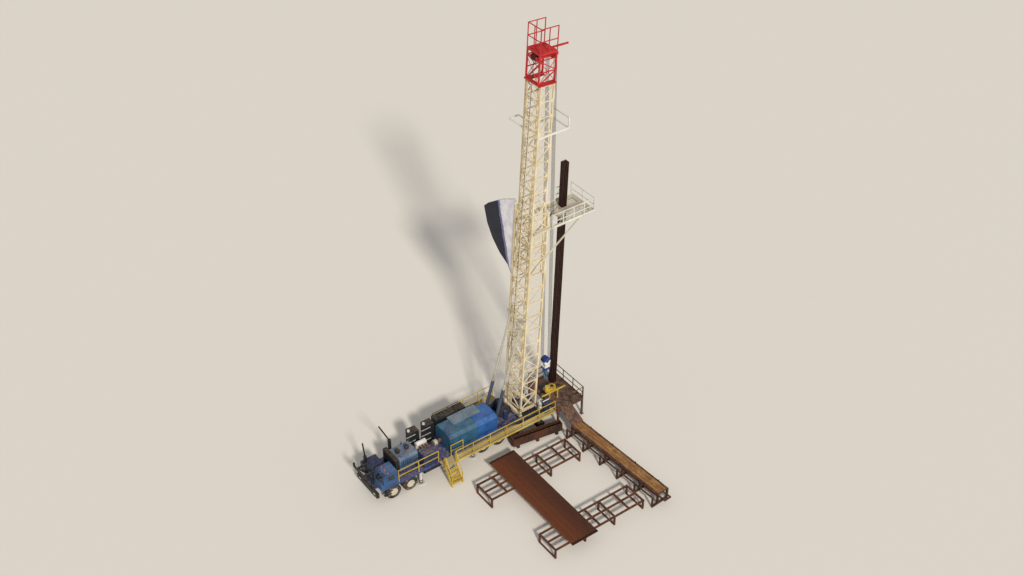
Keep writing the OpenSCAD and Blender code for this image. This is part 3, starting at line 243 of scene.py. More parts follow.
def paint(name, base, fade=None, rust=0.30, dust=0.45, rough=0.42, grease=0.15, scale=1.0):
    """Weathered paint: sun fade, rust chips, rain streaks, oil and dust on what faces up."""
    m = Nodes(name)
    base = srgb(base)
    fade = srgb(fade) if fade else tinted(base, 1.35, 0.03)
    colour = m.mix(m.step(m.noise(0.9 * scale, 5.0), 0.35, 0.7), base, fade)
    streak = m.noise(1.0, 5.0, 0.65, m.stretched((9.0 * scale, 9.0 * scale, 0.9 * scale)))
    colour = m.mix(m.step(streak, 0.56, 0.78, 0.0, 0.45), colour, tinted(base, 0.45))
    fine = m.noise(14.0 * scale, 8.0, 0.7)
    chips = m.step(fine, 0.68 - 0.16 * rust, 0.74 - 0.16 * rust)
    colour = m.mix(m.times(chips, 0.85), colour, RUST)
    oil = m.step(m.noise(2.3 * scale, 7.0, 0.7), 0.62, 0.74, 0.0, grease * 3.0)
    colour = m.mix(m.math("MINIMUM", oil, 0.9), colour, GREASE)
    settle = m.times(m.step(m.up(), 0.25, 0.95), m.step(m.noise(5.0 * scale, 7.0), 0.34, 0.66))
    colour = m.mix(m.times(settle, dust), colour, SAND)
    r = m.math("ADD", m.times(settle, 0.3), m.step(fine, 0.3, 0.8, rough, rough + 0.25))
    m.bump(fine, 0.25, 0.006)
    return m.finish(colour, r)


def rusty(name, base, light, dark, scale=1.0, rough=0.8, dust=0.3, along=None):
    """Bare rusted steel with pale scale, dark patches and dust."""
    m = Nodes(name)
    vector = m.stretched(along) if along else m.coord
    broad = m.noise(1.3 * scale, 6.0, 0.6, vector)
    fine = m.noise(11.0 * scale, 8.0, 0.7, vector)
    colour = m.mix(m.step(broad, 0.35, 0.68), srgb(base), srgb(dark))
    colour = m.mix(m.step(fine, 0.52, 0.72, 0.0, 0.8), colour, srgb(light))
    settle = m.times(m.step(m.up(), 0.2, 0.95), m.step(m.noise(4.0 * scale, 7.0), 0.4, 0.7))
    colour = m.mix(m.times(settle, dust), colour, SAND)
    m.bump(fine, 0.45, 0.006)
    return m.finish(colour, m.step(fine, 0.3, 0.7, rough, rough - 0.15), 0.25)


def tubing(name):
    """Laid tubes: red-brown on the left, darker to the right, each one a little different."""
    shade_from, shade_to = LAID.x0 + 0.3, LAID.x0 + 1.8
    m = Nodes(name)
    vector = m.stretched((5.0, 1.0, 5.0))
    each = m.noise(1.0, 2.0, 0.5, m.stretched((12.0, 0.02, 0.02)))
    colour = m.mix(m.step(m.split(m.coord)[0], shade_from, shade_to), "7c3f1e", "56301e")
    colour = m.mix(m.step(each, 0.35, 0.65, 0.0, 0.55), colour, "4a2819")
    fine = m.noise(11.0, 8.0, 0.7, vector)
    colour = m.mix(m.step(fine, 0.5, 0.72, 0.0, 0.75), colour, "97603a")
    colour = m.mix(m.step(m.noise(2.2, 6.0, 0.6, vector), 0.56, 0.74, 0.0, 0.7), colour, "2c1a13")
    m.bump(fine, 0.4, 0.004)
    return m.finish(colour, m.step(fine, 0.3, 0.7, 0.8, 0.6), 0.2)


def bare(name, base, rough=0.35, metallic=0.9, scale=1.0):
    """Worked steel with oil film and scratches."""
    m = Nodes(name)
    base = srgb(base)
    fine = m.noise(1.0, 6.0, 0.6, m.stretched((30.0 * scale, 30.0 * scale, 4.0 * scale)))
    colour = m.mix(m.step(fine, 0.4, 0.75), base, tinted(base, 0.55))
    colour = m.mix(m.step(m.noise(3.0 * scale, 6.0), 0.55, 0.75, 0.0, 0.8), colour, GREASE)
    m.bump(fine, 0.2, 0.003)
    return m.finish(colour, m.step(fine, 0.3, 0.8, rough, rough + 0.3), metallic)


def ram_paint(name, barrel_top):
    """Telescoping ram: a blue-grey barrel below, pale oiled stages above."""
    soft = 0.02
    m = Nodes(name)
    fine = m.noise(14.0, 7.0, 0.7)
    stage = m.mix(m.step(fine, 0.4, 0.75), "c9c4b2", "a09c90")
    above = m.step(m.split(m.coord)[2], barrel_top - soft, barrel_top + soft)
    colour = m.mix(above, "4c5668", stage)
    colour = m.mix(m.step(m.noise(3.0, 6.0), 0.55, 0.75, 0.0, 0.7), colour, GREASE)
    m.bump(fine, 0.2, 0.003)
    return m.finish(colour, m.step(fine, 0.3, 0.8, 0.35, 0.6), 0.3)


def rubber(name):
    m = Nodes(name)
    fine = m.noise(24.0, 7.0, 0.7)
    colour = m.mix(m.step(fine, 0.35, 0.7), "18191b", "2b2a28")
    colour = m.mix(m.step(m.noise(3.5, 6.0), 0.42, 0.7, 0.0, 0.75), colour, "8f7a5d")
    m.bump(fine, 0.4, 0.004)
    return m.finish(colour, 0.85)


def cloth_material(name):
    """Sun-faded tarpaulin, navy outside and pale lavender next to the mast. The two colours are pushed apart
    as painted shade on the navy and painted light on the pale, and a darker band on the pale side of the
    seam is painted shade in the fold.
    """
    m = Nodes(name)
    across, up = m.split(m.new("TexCoord").outputs["UV"])[:2]
    wobble = m.step(m.noise(1.6, 3.0), 0.0, 1.0, -0.03, 0.03)
    slant = m.math("ADD", m.times(up, 0.56), 0.10)
    seam = m.math("ADD", m.math("SUBTRACT", across, slant), wobble)
    # navy deepened as painted shade, pale brightened as painted light, over the cloth's own two colours
    navy = m.mix(m.step(m.noise(2.2, 5.0), 0.35, 0.7), "0b0d1f", "161a34")
    pale = m.mix(m.step(m.noise(1.8, 5.0), 0.35, 0.7), "f2eeee", "d2cfdc")
    # band: a darker lavender strip on the pale side of the seam, painted shade in the fold
    band = m.mix(m.step(seam, -0.09, -0.05), pale, "74749c")
    colour = m.mix(m.step(seam, -0.015, 0.015), band, navy)
    weave = m.new("TexWave", Vector=m.coord, Scale=70.0)
    colour = m.mix(m.step(m.noise(9.0, 6.0), 0.6, 0.8, 0.0, 0.25), colour, SAND)
    m.bump(weave.outputs["Fac"], 0.15, 0.002)
    m.bsdf.inputs["Sheen Weight"].default_value = 0.05
    return m.finish(colour, 0.78)


def glass(name):
    m = Nodes(name)
    dirt = m.noise(6.0, 6.0)
    m.bsdf.inputs["IOR"].default_value = 1.45
    colour = m.mix(m.step(dirt, 0.5, 0.8), "1c2830", "6a6254")
    return m.finish(colour, m.step(dirt, 0.4, 0.8, 0.06, 0.45))


def banded(name, blue, white, lo, hi):
    """Block paint: blue with a white band between two heights, chipped and greasy."""
    soft = 0.01
    m = Nodes(name)
    fine = m.noise(16.0, 8.0, 0.7)
    z = m.math("ADD", m.split(m.coord)[2], m.step(fine, 0.0, 1.0, -0.03, 0.03))
    band = m.times(m.step(z, lo - soft, lo + soft), m.step(z, hi + soft, hi - soft))
    colour = m.mix(band, srgb(blue), srgb(white))
    colour = m.mix(m.step(fine, 0.62, 0.7, 0.0, 0.85), colour, RUST)
    colour = m.mix(m.step(m.noise(4.0, 6.0), 0.56, 0.72, 0.0, 0.8), colour, GREASE)
    m.bump(fine, 0.3, 0.004)
    return m.finish(colour, m.step(fine, 0.3, 0.8, 0.4, 0.7))


def planks(name):
    m = Nodes(name)
    grain = m.noise(1.0, 8.0, 0.7, m.stretched((14.0, 1.2, 14.0)))
    colour = m.mix(m.step(grain, 0.3, 0.7), "a3723f", "6b4628")
    colour = m.mix(m.step(m.noise(1.7, 6.0), 0.5, 0.75, 0.0, 0.7), colour, "c59a62")
    m.bump(grain, 0.5, 0.006)
    return m.finish(colour, 0.85)


MATERIALS = {
    "carrier": paint("carrier_paint", "1f3468", "33497c", rust=0.5, dust=0.35, grease=0.3),
    "navy": paint("navy_paint", "1b2549", "2c3860", rust=0.35, dust=0.3, grease=0.25),
    "cab": paint("cab_paint", "1a4072", "305f8c", rust=0.25, dust=0.18),
    "hood": paint("hood_paint", "0e1f40", "183253", rust=0.3, dust=0.10, grease=0.3),
    "engine": paint("engine_paint", "3a5676", "56728c", rust=0.3, dust=0.3, grease=0.3),
    "teal": paint("housing_paint", "1f4c6a", "356884", rust=0.2, dust=0.12),
    "bright": paint("guard_paint", "144c8c", "2a66a6", rust=0.15, dust=0.10, rough=0.35),
    "canopy": paint("canopy_paint", "51697a", "6c8492", rust=0.2, dust=0.22),
    "black": paint("black_paint", "101114", "1e2024", rust=0.35, dust=0.14, rough=0.5),
    "yellow": paint("yellow_paint", "bb981f", "d2b84e", rust=0.35, dust=0.2, grease=0.25),
    "pale_yellow": paint("walk_paint", "a39363", "c0b186", rust=0.5, dust=0.45, grease=0.3),
    "ivory": paint("mast_paint", "d2bf95", "eadbb9", rust=0.42, dust=0.08, rough=0.45, grease=0.30),
    "red": paint("crown_paint", "b01218", "c82c2a", rust=0.25, dust=0.05, grease=0.15),
    "white": paint("white_paint", "d6d3c8", "e6e4da", rust=0.3, dust=0.2, grease=0.15),
    "board": paint("board_paint", "c0bba6", "d8d1ba", rust=0.4, dust=0.25, grease=0.25),
    "grey": paint("jack_paint", "b9b5a9", "cfccc2", rust=0.35, dust=0.3),
    "floor": rusty("floor_steel", "6b4a40", "8f6a58", "42302a", 1.2, 0.75, 0.3),
    "brown_rail": paint("brown_rail_paint", "4a3628", "614a34", rust=0.6, dust=0.3),
    "rust": rusty("rack_steel", "66381f", "86532f", "3d2318", 1.0, 0.82, 0.15),
    "rust_dark": rusty("catwalk_steel", "532f1d", "7a5230", "301b13", 1.0, 0.82, 0.2),
    "pipe": tubing("tubing_steel"),
    "stand": rusty("stand_steel", "3a1a12", "5c3120", "1e0e0a", 1.6, 0.6, 0.03, (6.0, 6.0, 1.0)),
    "iron": bare("worked_iron", "5c5e60", 0.4, 0.8),
    "sheave": rusty("sheave_iron", "4a1512", "7a221c", "2a0f0d", 2.0, 0.6, 0.1),
    "ram": ram_paint("ram_paint", RAM_BARREL_TOP),
    "rope": bare("wire_rope", "2c2b29", 0.6, 0.25, 3.0),
    "block": banded("block_paint", "26408a", "e4e2dc", *BLOCK_BAND),
    "rubber": rubber("tyre_rubber"),
    "hub": paint("hub_paint", "bcb5a2", "cfc9b8", rust=0.5, dust=0.35, scale=3.0),
    "glass": glass("cab_glass"),
    "cloth": cloth_material("mast_cloth"),
    "planks": planks("catwalk_planks"),
    "lamp": paint("lamp_lens", "d8dcd8", rust=0.0, dust=0.2, rough=0.15, grease=0.05),
    "amber": paint("amber_lens", "b8561a", rust=0.0, dust=0.2, rough=0.2, grease=0.05),
}

# The CAD nodes of each material. The wheelsets, which aren't listed, are rubber.
LOOKS = {
    "carrier": "carrier_frame deck_plates",
    "black": ("front_bumper mast_rest radiator exhaust_stacks fuel_tanks hydraulic_tanks "
              "cooler_panel base_beam"),
    "cab": "cab",
    "glass": "cab_glass",
    "hood": "engine_hood tail_winches",
    "engine": "engine_cover hook",
    "floor": "transmission work_floor floor_legs",
    "navy": "battery_box drawworks_drum",
    "white": "air_tanks board_rails rod_basket",
    "teal": "drawworks_housing",
    "bright": "drum_guard",
    "canopy": "drawworks_canopy",
    "pale_yellow": "walkways",
    "yellow": "walkway_rails access_stairs power_tongs",
    "grey": "leveling_jacks",
    "ivory": ("mast_base mast_lower_near mast_lower_far mast_lower_front mast_upper_near "
              "mast_upper_far mast_upper_front mast_ladder"),
    "ram": "raising_rams",
    "red": "crown_frame",
    "sheave": "crown_sheaves",
    "board": "tubing_board",
    "cloth": "mast_cloth",
    "rope": "mast_lines drill_lines",
    "block": "travelling_block",
    "brown_rail": "floor_rails",
    "iron": "slip_table",
    "rust_dark": "pipe_box catwalk",
    "stand": "racked_pipe",
    "rust": "pipe_racks",
    "pipe": "laid_pipe",
}
look_of = {node: look for look, nodes in LOOKS.items() for node in nodes.split()}
for name, obj in frame["nodes"].items():
    look = MATERIALS[look_of.get(name, "rubber")]
    if obj.material_slots:
        for slot in obj.material_slots:
            slot.material = look
    else:
        obj.data.materials.append(look)


# Building pieces
class Piece:
    """Gathers chamfered bars, rods, plates and turned parts into one mesh."""

    def __init__(self):
        self.verts = []
        self.faces = []
        self.to = Matrix.Identity(4)

    def add(self, verts, faces):
        base = len(self.verts)
        self.verts += [tuple(self.to @ Vector(v)) for v in verts]
        self.faces += [tuple(base + i for i in face) for face in faces]

    def box(self, lo, hi, cut=0.004):
        """A box with chamfered edges. Each corner has three points, one for each face there."""
        lo, hi = Vector(lo), Vector(hi)
        mid, half = (lo + hi) / 2, (hi - lo) / 2
        cut = min(cut, *(h * 0.45 for h in half))
        corners = [(x, y, z) for x in SIDES for y in SIDES for z in SIDES]
        verts, index = [], {}
        for s in corners:
            for a in range(3):
                index[s, a] = len(verts)
                verts.append([mid[k] + s[k] * (half[k] - (0.0 if k == a else cut)) for k in range(3)])
        faces = []
        for a in range(3):
            b, d = (a + 1) % 3, (a + 2) % 3

            def corner(sa, sb, sd):
                s = {a: sa, b: sb, d: sd}
                return s[0], s[1], s[2]

            around = ((-1, -1), (1, -1), (1, 1), (-1, 1))
            for sa in SIDES:
                ring = [index[corner(sa, sb, sd), a] for sb, sd in around]
                faces.append(ring if sa > 0 else ring[::-1])
            for sb, sd in around:
                s0, s1 = corner(-1, sb, sd), corner(1, sb, sd)
                edge = [index[s0, b], index[s1, b], index[s1, d], index[s0, d]]
                faces.append(edge if sb * sd > 0 else edge[::-1])
        for s in corners:
            tip = [index[s, 0], index[s, 1], index[s, 2]]
            faces.append(tip if s[0] * s[1] * s[2] > 0 else tip[::-1])
        self.add(verts, faces)

    def between(self, p, q):
        """The place at p whose z runs to q, and the distance to q."""
        p, q = Vector(p), Vector(q)
        turn = (q - p).to_track_quat("Z", "Y").to_matrix().to_4x4()
        return self.to @ Matrix.Translation(p) @ turn, (q - p).length

    def bar(self, p, q, w, d, cut=0.004):
        """A chamfered bar from p to q."""
        keep = self.to
        self.to, length = self.between(p, q)
        self.box((-w / 2, -d / 2, 0), (w / 2, d / 2, length), cut)
        self.to = keep

    def rod(self, p, q, r, sides=10):
        """A round rod from p to q with chamfered ends."""
        keep = self.to
        self.to, length = self.between(p, q)
        cut = min(r * 0.2, length * 0.2)
        self.lathe([(r - cut, 0), (r, cut), (r, length - cut), (r - cut, length)], sides)
        self.to = keep

    def skin(self, verts, sides):
        """Joins a row of rings, each with so many sides, and closes both ends."""
        last = len(verts) - sides
        faces = []
        for i in range(0, last, sides):
            for k in range(sides):
                k2 = (k + 1) % sides
                faces.append((i + k, i + k2, i + sides + k2, i + sides + k))
        faces.append(tuple(reversed(range(sides))))
        faces.append(tuple(last + k for k in range(sides)))
        self.add(verts, faces)

    def lathe(self, rings, sides=24):
        """Turns a profile of (radius, z) about z, closed at both ends."""
        self.skin([(*polar(max(r, 1e-4), a), z) for r, z in rings for a in angles(sides)], sides)

    def tube(self, path, r, sides=8):
        """A round tube along a list of points."""
        path = [Vector(p) for p in path]
        verts = []
        side = None
        for i, p in enumerate(path):
            d = (path[min(i + 1, len(path) - 1)] - path[max(i - 1, 0)]).normalized()
            if side is None:
                side = d.orthogonal().normalized()
            side = (side - d * side.dot(d)).normalized()
            other = d.cross(side)
            for across, up in (polar(r, a) for a in angles(sides)):
                verts.append(p + side * across + other * up)
        self.skin(verts, sides)

    def make(self, name, look, slot, body="rig"):
        mesh = bpy.data.meshes.new(name)
        mesh.from_pydata(self.verts, [], self.faces)
        mesh.validate()
        mesh.shade_smooth()
        mesh.set_sharp_from_angle(angle=math.radians(32))
        obj = bpy.data.objects.new(name, mesh)
        scene.collection.objects.link(obj)
        mesh.materials.append(MATERIALS[look])
        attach(obj, body)
        return obj


def piece(look, slot, body="rig"):
    """Has the function below it fill an empty piece, and makes that under the function's name."""
    def build(fill):
        p = Piece()
        fill(p)
        p.make(fill.__name__, look, slot, body)
        return fill
    return build


def curve(points, steps=8):
    """Smooth points through a list of control points."""
    pts = [Vector(p) for p in points]
    pts = [pts[0] * 2 - pts[1]] + pts + [pts[-1] * 2 - pts[-2]]
    out = []
    for i in range(1, len(pts) - 2):
        a, b, c, d = pts[i - 1:i + 3]
        for k in range(steps):
            t = k / steps
            out.append(0.5 * ((2 * b) + (c - a) * t + (2 * a - 5 * b + 4 * c - d) * t * t
                              + (3 * b - a - 3 * c + d) * t ** 3))
    out.append(pts[-2])
    return out


def coil(x, y, z, r, length, turns, steps, along):
    """Points of a rope's turns round a drum that lies along "x" or "y"."""
    points = []
    for k in range(turns * steps + 1):
        across, up = polar(r, 2 * math.pi * k / steps)
        run = length * k / (turns * steps)
        dx, dy = (run, across) if along == "x" else (across, run)
        points.append((x + dx, y + dy, z + up))
    return points


@piece("ivory", "mast_ivory")
def mast_braces(p):
    """Second diagonals, gusset plates and cross ties between the CAD lattice's bars."""
    tie_r = 0.017
    gusset_w, gusset_h, gusset_t, gusset_off = 0.13, 0.2, 0.01, 0.034
    p.to = MAST
    for foot, length, x, y, leg, panels in MAST_SECTIONS:
        pitch = (length - BRACE) / panels
        for i in range(panels):
            low = foot + i * pitch + BRACE / 2
            high = low + pitch
            hand = 1 if i % 2 == 0 else -1
            for side in SIDES:
                p.rod((hand * x, side * y, low), (-hand * x, side * y, high), tie_r, 8)
            inner = hand * (y - leg / 2)
            p.rod((-x, inner, low), (-x, -inner, high), tie_r, 8)
            if foot > 0 and foot + i * pitch < LOWER_L:
                continue
            for side in SIDES:
                face = side * (y + gusset_off)
                for end in SIDES:
                    edge = end * (x - leg / 2)
                    x0, x1 = sorted((edge, edge - end * gusset_w))
                    p.box((x0, face - gusset_t / 2, low - gusset_h / 2),
                          (x1, face + gusset_t / 2, low + gusset_h / 2), 0.003)


@piece("iron", "hook_steel")
def mast_foot_pins(p):
    half_x, half_y, half_t = 0.085, 0.07, 0.02
    pin_r, pin_z, plate_zs = 0.035, 0.06, (-0.02, 0.14)
    p.to = MAST
    for x in (-LOWER_X, LOWER_X):
        for side in SIDES:
            y = side * LOWER_Y
            for z in plate_zs:
                p.box((x - half_x, y - half_y, z - half_t), (x + half_x, y + half_y, z + half_t), 0.006)
            p.rod((x, y + side * half_x, pin_z), (x, y - side * half_x, pin_z), pin_r, 12)


def wheels():
    """Hubs with their nuts, and the tyres' lugs. They turn with their axle."""
    steered, front_w, rear_w, dual_gap = 2, 0.38, 0.27, 0.04
    lugs, lug_half, lug_low, lug_high, lug_slant = 30, 0.032, 0.012, 0.010, 0.05
    nuts, nut_circle, nut_sink = 10, 0.145, 0.03
    nut = [(0.017, 0.0), (0.017, 0.018), (0.012, 0.024)]
    rim = [(0.285, -0.06), (0.285, -0.012), (0.262, -0.008)]
    front_hub = rim + [(0.25, -0.03), (0.19, -0.036), (0.165, -0.012), (0.11, -0.008), (0.10, 0.0),
                       (0.05, 0.0)]
    rear_hub = rim + [(0.25, -0.045), (0.20, -0.05), (0.15, -0.038), (0.115, -0.03), (0.11, 0.0),
                      (0.05, 0.002)]
    for number, x in enumerate(AXLES, 1):
        front = number <= steered
        w = front_w if front else rear_w
        outer = HALF_W - w / 2
        hubs, tread = Piece(), Piece()
        for side in SIDES:
            for middle in ([outer] if front else [outer, outer - w - dual_gap]):
                for a in angles(lugs):
                    for row in SIDES:
                        slant = Matrix.Rotation(a + row * lug_slant, 4, "Y")
                        tread.to = shift(x, side * middle, AXLE_Z) @ slant
                        y0, y1 = sorted((row * 0.015, row * (w / 2 - 0.03)))
                        tread.box((-lug_half, y0, TYRE_R - lug_low),
                                  (lug_half, y1, TYRE_R + lug_high), 0.006)
            hub = outward(x, side * (outer + w / 2 - 0.005), AXLE_Z, side)
            hubs.to = hub
            hubs.lathe(front_hub if front else rear_hub, 28)
            for a in angles(nuts):
                hubs.to = hub @ shift(*polar(nut_circle, a), -nut_sink)
                hubs.lathe(nut, 6)
        hubs.make(f"wheel_hubs_{number}", "hub", "wheel", f"axle_{number}")
        tread.make(f"tyre_lugs_{number}", "rubber", "wheel", f"axle_{number}")


wheels()


@piece("cab", "cab_blue")
def cab_seams(p):
    """Door seams with their handles, and drip rails along the roof."""
    x0, x1, z0, z1 = 0.42, 1.16, 0.08, 1.0
    strip, half_t, rail = 0.02, 0.006, 0.03
    width, top = CAB.y1 - CAB.y0, CAB.z1 - DECK_Z
    p.to = shift(CAB.x0, CAB.y0, DECK_Z)
    for y in (-0.004, width + 0.004):
        for x in (x0, x1):
            p.box((x, y - half_t, z0), (x + strip, y + half_t, z1), 0.003)
        for z in (z0, z1 - strip):
            p.box((x0, y - half_t, z), (x1, y + half_t, z + strip), 0.003)
        p.box((x1 - 0.16, y - 0.018, 0.42), (x1 - 0.05, y + 0.018, 0.45), 0.005)
    for y in (0.04, width - 0.04 - rail):
        p.box((0.34, y, top), (1.26, y + rail, top + rail), 0.006)


@piece("black", "dark_paint")
def cab_fittings(p):
    """Mirrors, wipers, marker housings and the steps under the door."""
    width, top, step_y = CAB.y1 - CAB.y0, CAB.z1 - DECK_Z, -0.045
    p.to = shift(CAB.x0, CAB.y0, DECK_Z)
    for y, out in ((-0.03, -0.02), (width + 0.03, 0.02)):
        p.tube([(0.25, y, 0.35), (0.12, y + out, 0.5), (0.12, y + out, 0.85)], 0.012)
        p.box((0.10, y - 0.10, 0.55), (0.13, y + 0.06, 0.85), 0.01)
    for y in (0.35, 0.75):
        p.bar((0.02, y, 0.50), (0.20, y + 0.16, 0.80), 0.014, 0.012)
    for k in range(4):
        y = 0.07 + 0.26 * k
        p.box((0.30, y, top), (0.38, y + 0.10, top + 0.06), 0.012)
    for k in range(3):
        x = 0.15 + 0.25 * k
        p.box((x, step_y, -0.47), (x + 0.2, 0.0, -0.45), 0.004)
    for x0, x1, z in ((0.20, 0.75, -0.70), (0.25, 0.70, -0.39)):
        p.box((x0, step_y, z), (x1, 0.12, z + 0.05), 0.006)


@piece("lamp", "rail_white")
def head_lamps(p):
    for side in SIDES:
        for y in (0.84, 0.97):
            p.to = shift(BUMPER.x0 + 0.05, side * y, (BUMPER.z0 + BUMPER.z1) / 2) @ turned(-90, "Y")
            p.lathe([(0.05, 0.0), (0.05, 0.04), (0.042, 0.05), (0.02, 0.056)], 20)


@piece("amber", "safety_yellow")
def roof_beacons(p):
    for k in range(3):
        p.to = shift(CAB.x0 + 0.62, CAB.y0 + 0.12 + 0.39 * k, CAB.z1)
        p.lathe([(0.05, 0.0), (0.05, 0.05), (0.04, 0.09), (0.015, 0.105)], 16)


@piece("black", "dark_paint")
def engine_fittings(p):
    """Slats before the radiator, louvres in the engine's side and two breather caps."""
    cap = [(0.16, 0.0), (0.16, 0.05), (0.13, 0.08), (0.13, 0.12), (0.17, 0.13), (0.17, 0.20),
           (0.14, 0.23), (0.03, 0.24)]
    at = shift(COVER.x0, COVER.y0, DECK_Z)
    p.to = at
    for k in range(14):
        y = 0.05 + k * 0.095
        p.box((-0.315, y, 0.16), (-0.295, y + 0.03, 1.0), 0.004)
    for k in range(8):
        x = 0.14 + k * 0.165
        for row in range(4):
            z = 0.30 + row * 0.12
            p.box((x, -0.006, z), (x + 0.10, 0.02, z + 0.04), 0.004)
    for x in (0.35, 1.05):
        p.to = at @ shift(x, 0.7, COVER.z1 - DECK_Z)
        p.lathe(cap, 24)


@piece("hood", "cab_blue")
def hood_lids(p):
    lid_t, hinge = 0.025, (0.06, 0.14, 0.025)
    for y0, y1 in ((-0.06, 0.56), (0.60, 1.24)):
        p.box((HOOD.x0 + 0.05, y0, HOOD.z1), (HOOD.x0 + 1.12, y1, HOOD.z1 + lid_t), 0.01)
    for y in (0.2, 0.95):
        corner = Vector((HOOD.x0 + 0.10, y, HOOD.z1 + lid_t))
        p.box(corner, corner + Vector(hinge), 0.008)


@piece("black", "dark_paint")
def engine_pipes(p):
    """Pipes from the engine to the gearbox, and four along the far side of the deck."""
    start, end, low = COVER.x0, BATTERY.x0, 0.06
    p.to = shift(0.0, 0.0, DECK_Z)
    for y, z in ((-0.62, 0.35), (-0.70, 0.45)):
        p.tube(curve([(start + 1.4, y + 0.12, 0.5), (start + 1.55, y, z),
                      (end + 0.4, -0.42, 0.6), (end + 0.8, -0.3, 0.72)]), 0.03)
    p.tube(curve([(start + 1.35, 0.7, 0.9), (start + 1.7, 0.75, 1.0),
                  (end + 0.35, 0.66, 0.7), (end + 0.45, 0.62, 0.35)]), 0.04)
    for k in range(4):
        y = 0.98 + 0.07 * k
        p.tube(curve([(end - 0.2, 1.22, low + 0.3 + 0.1 * k), (end - 0.6, y, low + 0.12),
                      (start + 0.4, y, low), (start - 0.2, y, low)]), 0.022)


@piece("grey", "jack_paint")
def transmission_ribs(p):
    coupling = [(0.1, 0.0), (0.22, 0.02), (0.22, 0.08), (0.17, 0.10), (0.17, 0.16), (0.22, 0.18),
                (0.22, 0.24), (0.1, 0.26)]
    p.to = shift(BATTERY.x0, 0.0, DECK_Z)
    p.box((0.15, -0.10, 0.70), (0.28, 0.06, 0.95), 0.02)
    for k in range(5):
        x = 0.12 + k * 0.22
        p.box((x, -0.23, 0.05), (x + 0.04, 0.44, 0.73), 0.012)
    p.to = shift(HOUSING.x0 - 0.55, 0.11, DECK_Z + 0.35) @ turned(90, "Y")
    p.lathe(coupling, 20)


@piece("grey", "jack_paint")
def tank_caps(p):
    """Filler caps and bands of the two upright oil tanks."""
    cap = [(0.10, 0.0), (0.10, 0.03), (0.07, 0.05), (0.07, 0.10), (0.09, 0.12), (0.02, 0.14)]
    half_l, band_h, y = 0.36, 0.05, 1.0
    for x in (TANKS.x0 + 0.05, TANKS.x0 + 1.25):
        p.to = shift(x, y, TANKS.z1)
        p.lathe(cap, 18)
        p.to = Matrix.Identity(4)
        for z in (DECK_Z + 0.25, DECK_Z + 0.75, DECK_Z + 1.25):
            p.box((x - half_l, y - 0.31, z), (x + half_l, y - 0.295, z + band_h), 0.004)


@piece("iron", "hook_steel")
def tank_straps(p):
    """Straps and filler caps of the fuel tanks under the deck."""
    tank_y, tank_z = 0.9, 0.79
    for side in SIDES:
        for x in (FUEL.x0 + 0.35, FUEL.x0 + 1.5):
            p.to = shift(x, side * tank_y, tank_z) @ turned(90, "Y")
            p.lathe([(0.283, 0.0), (0.288, 0.005), (0.288, 0.055), (0.283, 0.06)], 32)
        p.to = shift(FUEL.x0 + 0.9, side * (tank_y + 0.08), 1.05)
        p.lathe([(0.06, 0.0), (0.06, 0.05), (0.05, 0.065)], 16)


@piece("teal", "housing_blue")
def housing_fittings(p):
    """Hinges and handles of the housing's doors, roof battens and four lifting eyes."""
    length, width, top = HOUSING.x1 - HOUSING.x0, HOUSING.y1 - HOUSING.y0, HOUSING.z1 - DECK_Z
    doors, door_pitch, hinge_r, eye_r = 3, 0.71, 0.015, 0.05
    at = shift(HOUSING.x0, HOUSING.y0, DECK_Z)
    p.to = at
    for side, y in ((-1, 0.0), (1, width)):
        hinge_y, handle_y = y + side * 0.004, y + side * 0.012
        for k in range(doors):
            x = 0.13 + k * door_pitch
            for z in (0.2, 0.9):
                p.rod((x, hinge_y, z), (x, hinge_y, z + 0.1), hinge_r)
            p.box((x + 0.46, handle_y - 0.012, 0.55), (x + 0.49, handle_y + 0.012, 0.70), 0.005)
    for x in (0.06, length - 0.10):
        p.box((x, 0.2, top), (x + 0.04, 0.9, top + 0.02), 0.005)
    eye = [(eye_r * math.cos(k * math.pi / 6), eye_r * math.sin(k * math.pi / 6) + 0.03, 0.0)
           for k in range(-1, 8)]
    for x in (0.2, length - 0.3):
        for y in (0.3, 0.8):
            p.to = at @ shift(x, y, top + 0.02) @ turned(90, "X")
            p.tube(eye, 0.011)


@piece("bright", "guard_blue")
def guard_ribs(p):
    length, width, top, rib = GUARD.x1 - GUARD.x0, GUARD.y1 - GUARD.y0, GUARD.z1 - DECK_Z, 0.04
    p.to = shift(GUARD.x0, GUARD.y0, DECK_Z)
    for x in (0.02, length - 0.06):
        p.box((x, 0.25, top), (x + rib, width - 0.3, top + 0.018), 0.005)
        p.box((x, -0.012, 0.02), (x + rib, 0.006, top - 0.28), 0.005)
    for k in range(7):
        z = 0.22 + 0.12 * k
        p.box((0.2, -0.004, z), (length - 0.2, 0.03, z + 0.035), 0.006)


@piece("canopy", "canopy_blue")
def canopy_ribs(p):
    p.to = shift(CANOPY.x0, CANOPY.y0, CANOPY.z1)
    for k in range(9):
        x = 0.1 + k * 0.235
        p.box((x, 0.03, 0.0), (x + 0.03, CANOPY.y1 - CANOPY.y0 - 0.02, 0.015), 0.004)


